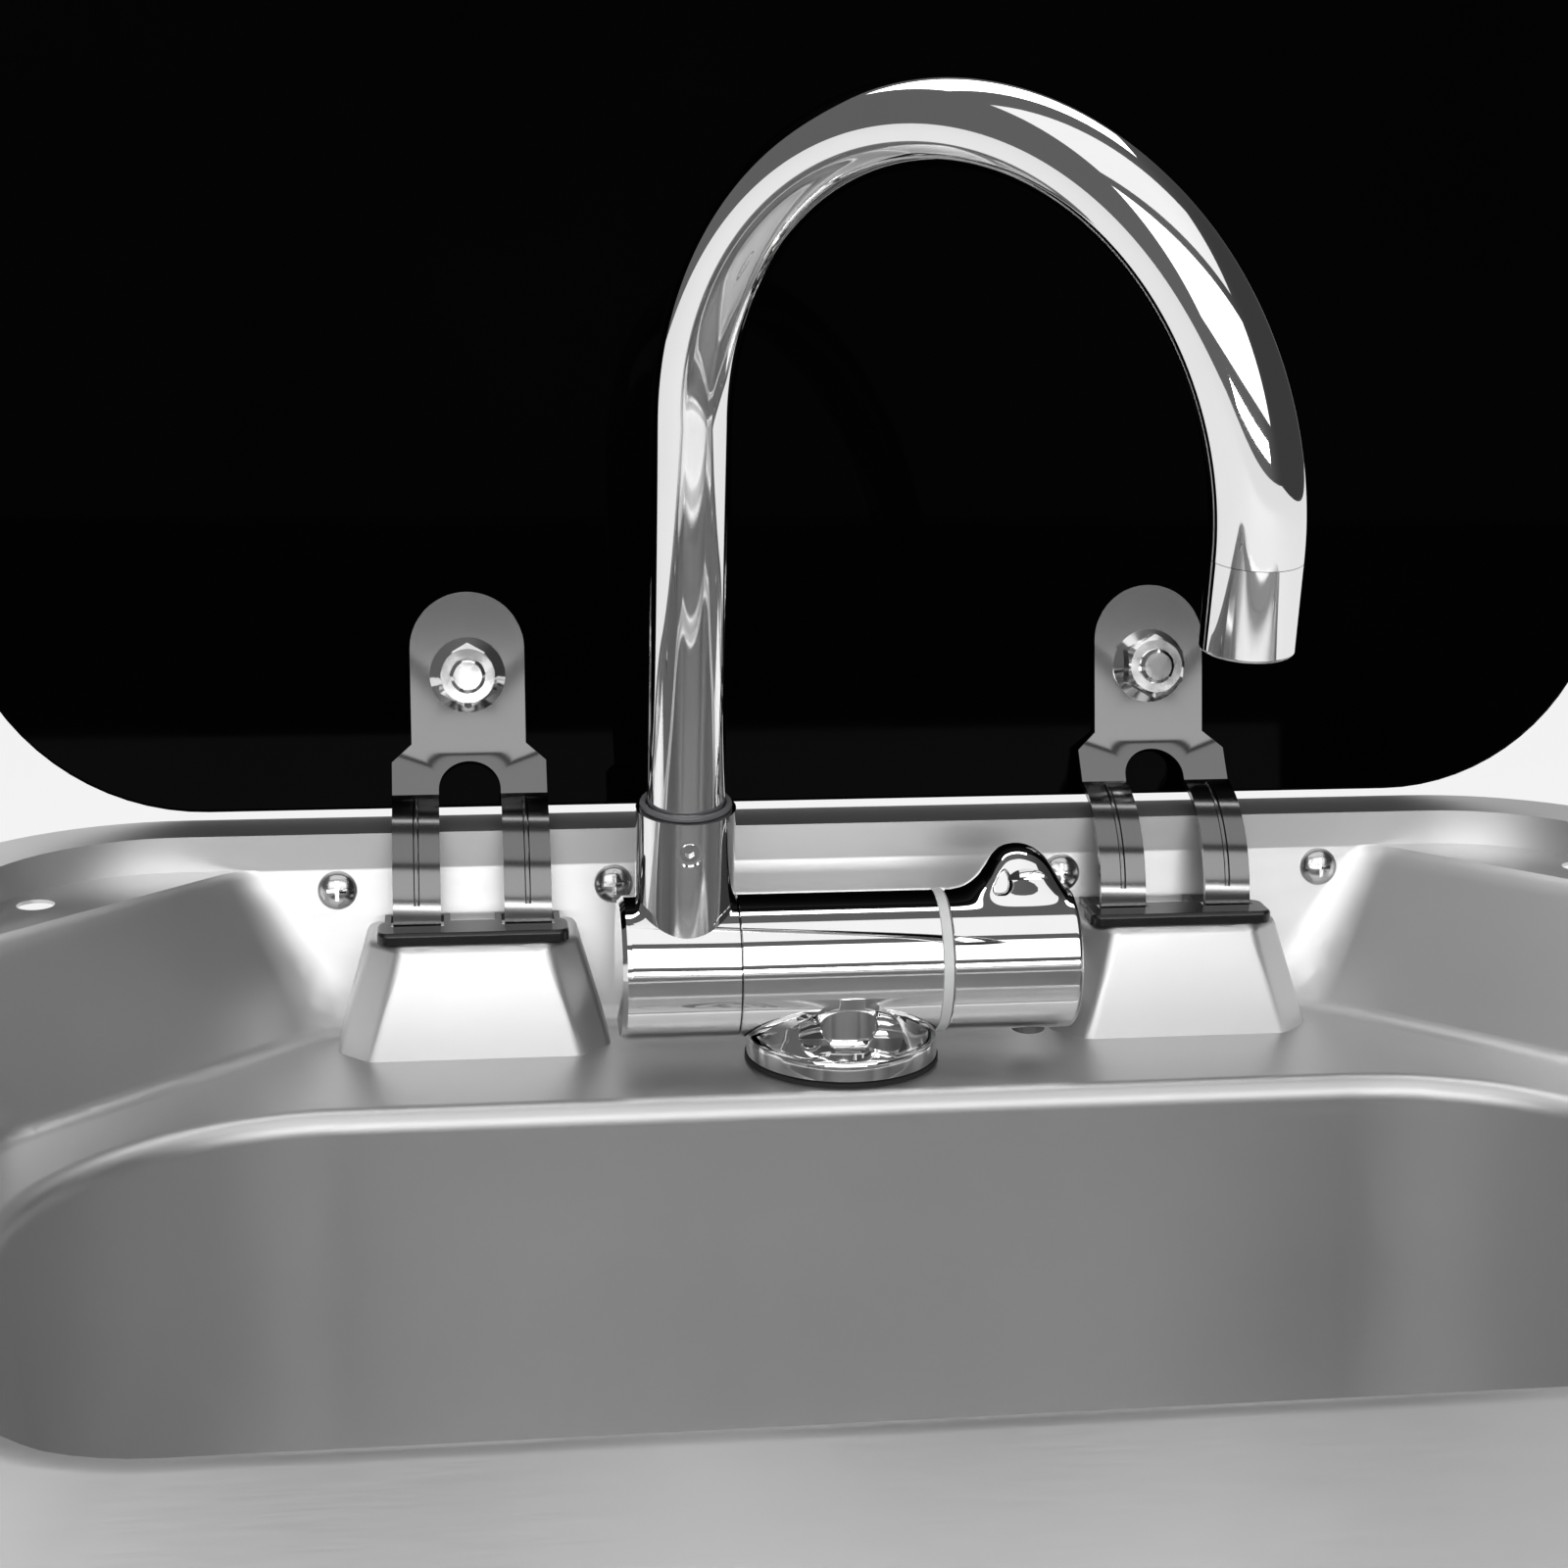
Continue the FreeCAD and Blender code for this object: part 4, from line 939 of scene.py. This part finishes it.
    def lever(self) -> None:
        """Round handle that swells into a lug with a half-moon hollow."""
        sides, edge = 180, self.handle_round
        low, high = self.handle_span
        stations = [low, low + 0.25] + [low + 0.5 + (high - low - 1.6) * k / 70 for k in range(71)]
        rings = []
        for x in stations:
            radius = self.barrel_radius - (0.25 if x == low else 0.0)
            rings.append(self.handle_ring(x, [radius + self.lug_rise(x) * self.lug_share(2 * math.pi * j / sides)
                                              for j in range(sides)]))
        for step in range(1, 7):
            turn = math.pi / 2 * step / 6
            radius = self.barrel_radius - edge * (1 - math.cos(turn))
            rings.append(self.handle_ring(high - edge + edge * math.sin(turn), [radius] * sides))
        piece = swept("lever_handle_skin", rings)
        x, y, z = self.hollow_place
        joined(piece, dome("lever_hollow", (x, self.tap_y + y, self.barrel_z + z), self.hollow_half), "DIFFERENCE")
        crisp(piece, 35.0)
        self.bench.finish(piece, Body.LEVER, ("lever_handle",), "tap_chrome")

    def handle_ring(self, x: float, radii: Sequence[float]) -> list[Point]:
        """Ring round the barrel's axis from evenly spaced radii, the first straight up."""
        turns = [2 * math.pi * j / len(radii) for j in range(len(radii))]
        return [(x, self.tap_y - radius * math.sin(turn), self.barrel_z + radius * math.cos(turn))
                for radius, turn in zip(radii, turns)]

    def lug_rise(self, x: float) -> float:
        """Height of the lug above the handle at a place along it, in millimetres."""
        knots = self.lug_knots
        if x <= knots[0][0] or x >= knots[-1][0]:
            return 0.0
        for i in range(len(knots) - 1):
            (x0, h0), (x1, h1) = knots[i], knots[i + 1]
            if x0 <= x <= x1:
                before = knots[max(0, i - 1)]
                after = knots[min(len(knots) - 1, i + 2)]
                m0 = (h1 - before[1]) / (x1 - before[0]) * (x1 - x0)
                m1 = (after[1] - h0) / (after[0] - x0) * (x1 - x0)
                t = (x - x0) / (x1 - x0)
                return max(0.0, (2 * t ** 3 - 3 * t ** 2 + 1) * h0 + (t ** 3 - 2 * t ** 2 + t) * m0
                           + (3 * t ** 2 - 2 * t ** 3) * h1 + (t ** 3 - t ** 2) * m1)
        return 0.0

    def lug_share(self, angle: float) -> float:
        """Share of the lug's height at an angle from straight up, positive to the front."""
        turn = (angle + math.pi) % (2 * math.pi) - math.pi + math.radians(self.lug_lean)
        reach = math.radians(self.lug_front if turn > 0 else self.lug_back)
        if abs(turn) >= reach:
            return 0.0
        wave = math.cos(math.pi / 2 * abs(turn) / reach)
        return wave ** self.lug_power

    def build(self) -> None:
        """Makes every piece of the tap."""
        self.base()
        for node in ("cartridge", "barrel_washer", "tap_gasket", "tap_soft_washer",
                     "tap_clamp_washer", "tap_backnut", "inlet_nipples"):
            self.bench.soften(node, Body.SINK, 28.0)
        for node in ("spout_elbow", "elbow_end_cap", "spout_grub_screw"):
            self.bench.soften(node, Body.ELBOW, 28.0)
        for node in ("aerator_housing", "aerator_insert"):
            self.bench.soften(node, Body.SPOUT, 28.0)
        self.bench.soften("index_button", Body.LEVER, 28.0)
        self.lever()
        self.tube()
        self.collar_ring()


@dataclass
class Waste:
    """Strainer, seal, cup and centre screw under the bowl."""

    bench: Bench

    def build(self) -> None:
        """Dresses the waste's pieces."""
        for node in ("waste_strainer", "waste_seal", "waste_cup", "waste_screw"):
            self.bench.soften(node, Body.SINK, 28.0)


# ---- studio -----------------------------------------------------------------
@dataclass
class Studio:
    """Pale floor, soft light and the camera of the picture."""

    focal_px: float = 2671.1
    eye: Point = (-84.3, -409.0, 154.2)
    yaw: float = 0.130424
    pitch: float = 0.241603
    roll: float = 0.011648
    floor_z: float = -208.5
    sky_light: float = 0.16
    sky_dark: float = 0.06
    dark_from: float = 0.1
    dark_to: float = 0.75
    backdrop_from: float = 0.72
    backdrop_to: float = 0.95
    floor_glow: float = 0.85

    def camera(self) -> None:
        """Sets the camera where the picture was taken from."""
        forward = Vector((math.sin(self.yaw) * math.cos(self.pitch), math.cos(self.yaw) * math.cos(self.pitch),
                          -math.sin(self.pitch)))
        right = Vector((math.cos(self.yaw), -math.sin(self.yaw), 0.0))
        up = right.cross(forward)
        side = right * math.cos(self.roll) + up * math.sin(self.roll)
        top = up * math.cos(self.roll) - right * math.sin(self.roll)
        lens = bpy.data.cameras.new("camera")
        lens.sensor_width = 36.0
        lens.sensor_fit = "HORIZONTAL"
        lens.lens = self.focal_px / IMAGE_SIDE * 36.0
        lens.clip_start = 0.01
        eye = bpy.data.objects.new("camera", lens)
        turn = Matrix((side, top, -forward)).transposed().to_4x4()
        eye.matrix_world = Matrix.Translation(Vector(self.eye) * MM) @ turn
        bpy.context.scene.collection.objects.link(eye)
        bpy.context.scene.camera = eye

    def floor(self) -> None:
        """Large pale floor under the waste."""
        reach = 4000.0
        piece = object_of("floor", [(-reach, -reach, self.floor_z), (reach, -reach, self.floor_z),
                                    (reach, reach, self.floor_z), (-reach, reach, self.floor_z)], [[0, 1, 2, 3]])
        shade = Shader("pale_floor")
        shade.set(Roughness=0.7)
        cloud = shade.noise((3.0, 3.0, 3.0), 2.0)
        shade.link(shade.blend(shade.remap(cloud, 0.0, 1.0), (0.83,) * 3, (0.87,) * 3),
                   shade.surface.inputs["Base Color"])
        rays = shade.node("ShaderNodeLightPath")
        glow = shade.node("ShaderNodeEmission")
        glow.inputs["Color"].default_value = (1, 1, 1, 1)
        sight = shade.node("ShaderNodeMath", operation="MAXIMUM")
        shade.link(rays.outputs["Is Camera Ray"], sight.inputs[0])
        shade.link(rays.outputs["Is Transmission Ray"], sight.inputs[1])
        every = shade.node("ShaderNodeMath", operation="MAXIMUM")
        shade.link(sight.outputs[0], every.inputs[0])
        shade.link(rays.outputs["Is Glossy Ray"], every.inputs[1])
        share = shade.remap(every.outputs[0], 0.0, self.floor_glow, 0.0, 1.0)
        both = shade.node("ShaderNodeMixShader")
        shade.link(share, both.inputs["Fac"])
        shade.link(shade.surface.outputs["BSDF"], both.inputs[1])
        shade.link(glow.outputs["Emission"], both.inputs[2])
        shade.link(both.outputs[0], shade.output.inputs["Surface"])
        piece.data.materials.append(shade.material)

    def lamp(self, name: str, place: Point, target: Point, size: tuple[float, float], power: float) -> None:
        """Adds one soft box.

        Args:
            name: Name of the lamp.
            place: Where it stands, in millimetres.
            target: Where it points.
            size: Width and height in millimetres.
            power: Watts.
        """
        data = bpy.data.lights.new(name, "AREA")
        data.shape = "RECTANGLE"
        data.size, data.size_y = size[0] * MM, size[1] * MM
        data.energy = power
        box = bpy.data.objects.new(name, data)
        box.location = Vector(place) * MM
        box.rotation_euler = (Vector(target) - Vector(place)).to_track_quat("-Z", "Y").to_euler()
        bpy.context.scene.collection.objects.link(box)

    def sky(self) -> None:
        """White surround for the eye, seen in metal where it lies behind, and a graded one for the light."""
        world = bpy.data.worlds.new("studio")
        world.use_nodes = True
        tree = world.node_tree
        tree.nodes.clear()
        out = tree.nodes.new("ShaderNodeOutputWorld")
        shown = tree.nodes.new("ShaderNodeBackground")
        lit = tree.nodes.new("ShaderNodeBackground")
        shown.inputs["Color"].default_value = (1, 1, 1, 1)
        mix = tree.nodes.new("ShaderNodeMixShader")
        rays = tree.nodes.new("ShaderNodeLightPath")
        place = tree.nodes.new("ShaderNodeTexCoord")
        split = tree.nodes.new("ShaderNodeSeparateXYZ")
        side = tree.nodes.new("ShaderNodeMapRange")
        side.interpolation_type = "SMOOTHSTEP"
        side.inputs["From Min"].default_value = self.dark_from
        side.inputs["From Max"].default_value = self.dark_to
        side.inputs["To Min"].default_value = self.sky_light
        side.inputs["To Max"].default_value = self.sky_dark
        tree.links.new(place.outputs["Generated"], split.inputs[0])
        tree.links.new(split.outputs["X"], side.inputs["Value"])
        tree.links.new(side.outputs["Result"], lit.inputs["Strength"])
        behind = tree.nodes.new("ShaderNodeMapRange")
        behind.interpolation_type = "SMOOTHSTEP"
        behind.inputs["From Min"].default_value = self.backdrop_from
        behind.inputs["From Max"].default_value = self.backdrop_to
        tree.links.new(split.outputs["Y"], behind.inputs["Value"])

        def combined(how: str, first: bpy.types.NodeSocket, second: bpy.types.NodeSocket) -> bpy.types.NodeSocket:
            made = tree.nodes.new("ShaderNodeMath")
            made.operation = how
            tree.links.new(first, made.inputs[0])
            tree.links.new(second, made.inputs[1])
            return made.outputs[0]

        mirrored = combined("MULTIPLY", rays.outputs["Is Glossy Ray"], behind.outputs["Result"])
        through = combined("MAXIMUM", rays.outputs["Is Camera Ray"], rays.outputs["Is Transmission Ray"])
        tree.links.new(combined("MAXIMUM", through, mirrored), mix.inputs["Fac"])
        tree.links.new(lit.outputs[0], mix.inputs[1])
        tree.links.new(shown.outputs[0], mix.inputs[2])
        tree.links.new(mix.outputs[0], out.inputs["Surface"])
        bpy.context.scene.world = world

    def build(self) -> None:
        """Sets up the whole studio."""
        self.camera()
        self.floor()
        self.sky()
        self.lamp("front_panel", (-60, -1300, 820), (0, 120, 0), (2400, 900), 12.0)
        self.lamp("low_strip", (-80, -1500, 165), (-20, 120, -20), (1500, 140), 6.2)
        self.lamp("top_panel", (0, -350, 1250), (0, 120, 0), (1800, 800), 4.2)
        self.lamp("back_top", (0, 520, 950), (0, 0, 0), (1000, 400), 4.6)
        view = bpy.context.scene.view_settings
        view.view_transform = "Standard"


def main() -> None:
    """Builds the sink from its sub-assemblies."""
    logging.basicConfig(level=logging.INFO, format="%(name)s: %(message)s")
    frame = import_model()
    bench = Bench(frame, Finishes())
    builders: list[Callable[[], None]] = [SteelSink(bench).build, GlassLid(bench).build,
                                          FoldingTap(bench).build, Waste(bench).build, Studio().build]
    for build in builders:
        build()
    LOG.info("%d pieces", len(bench.made))


if __name__ == "__main__":
    main()
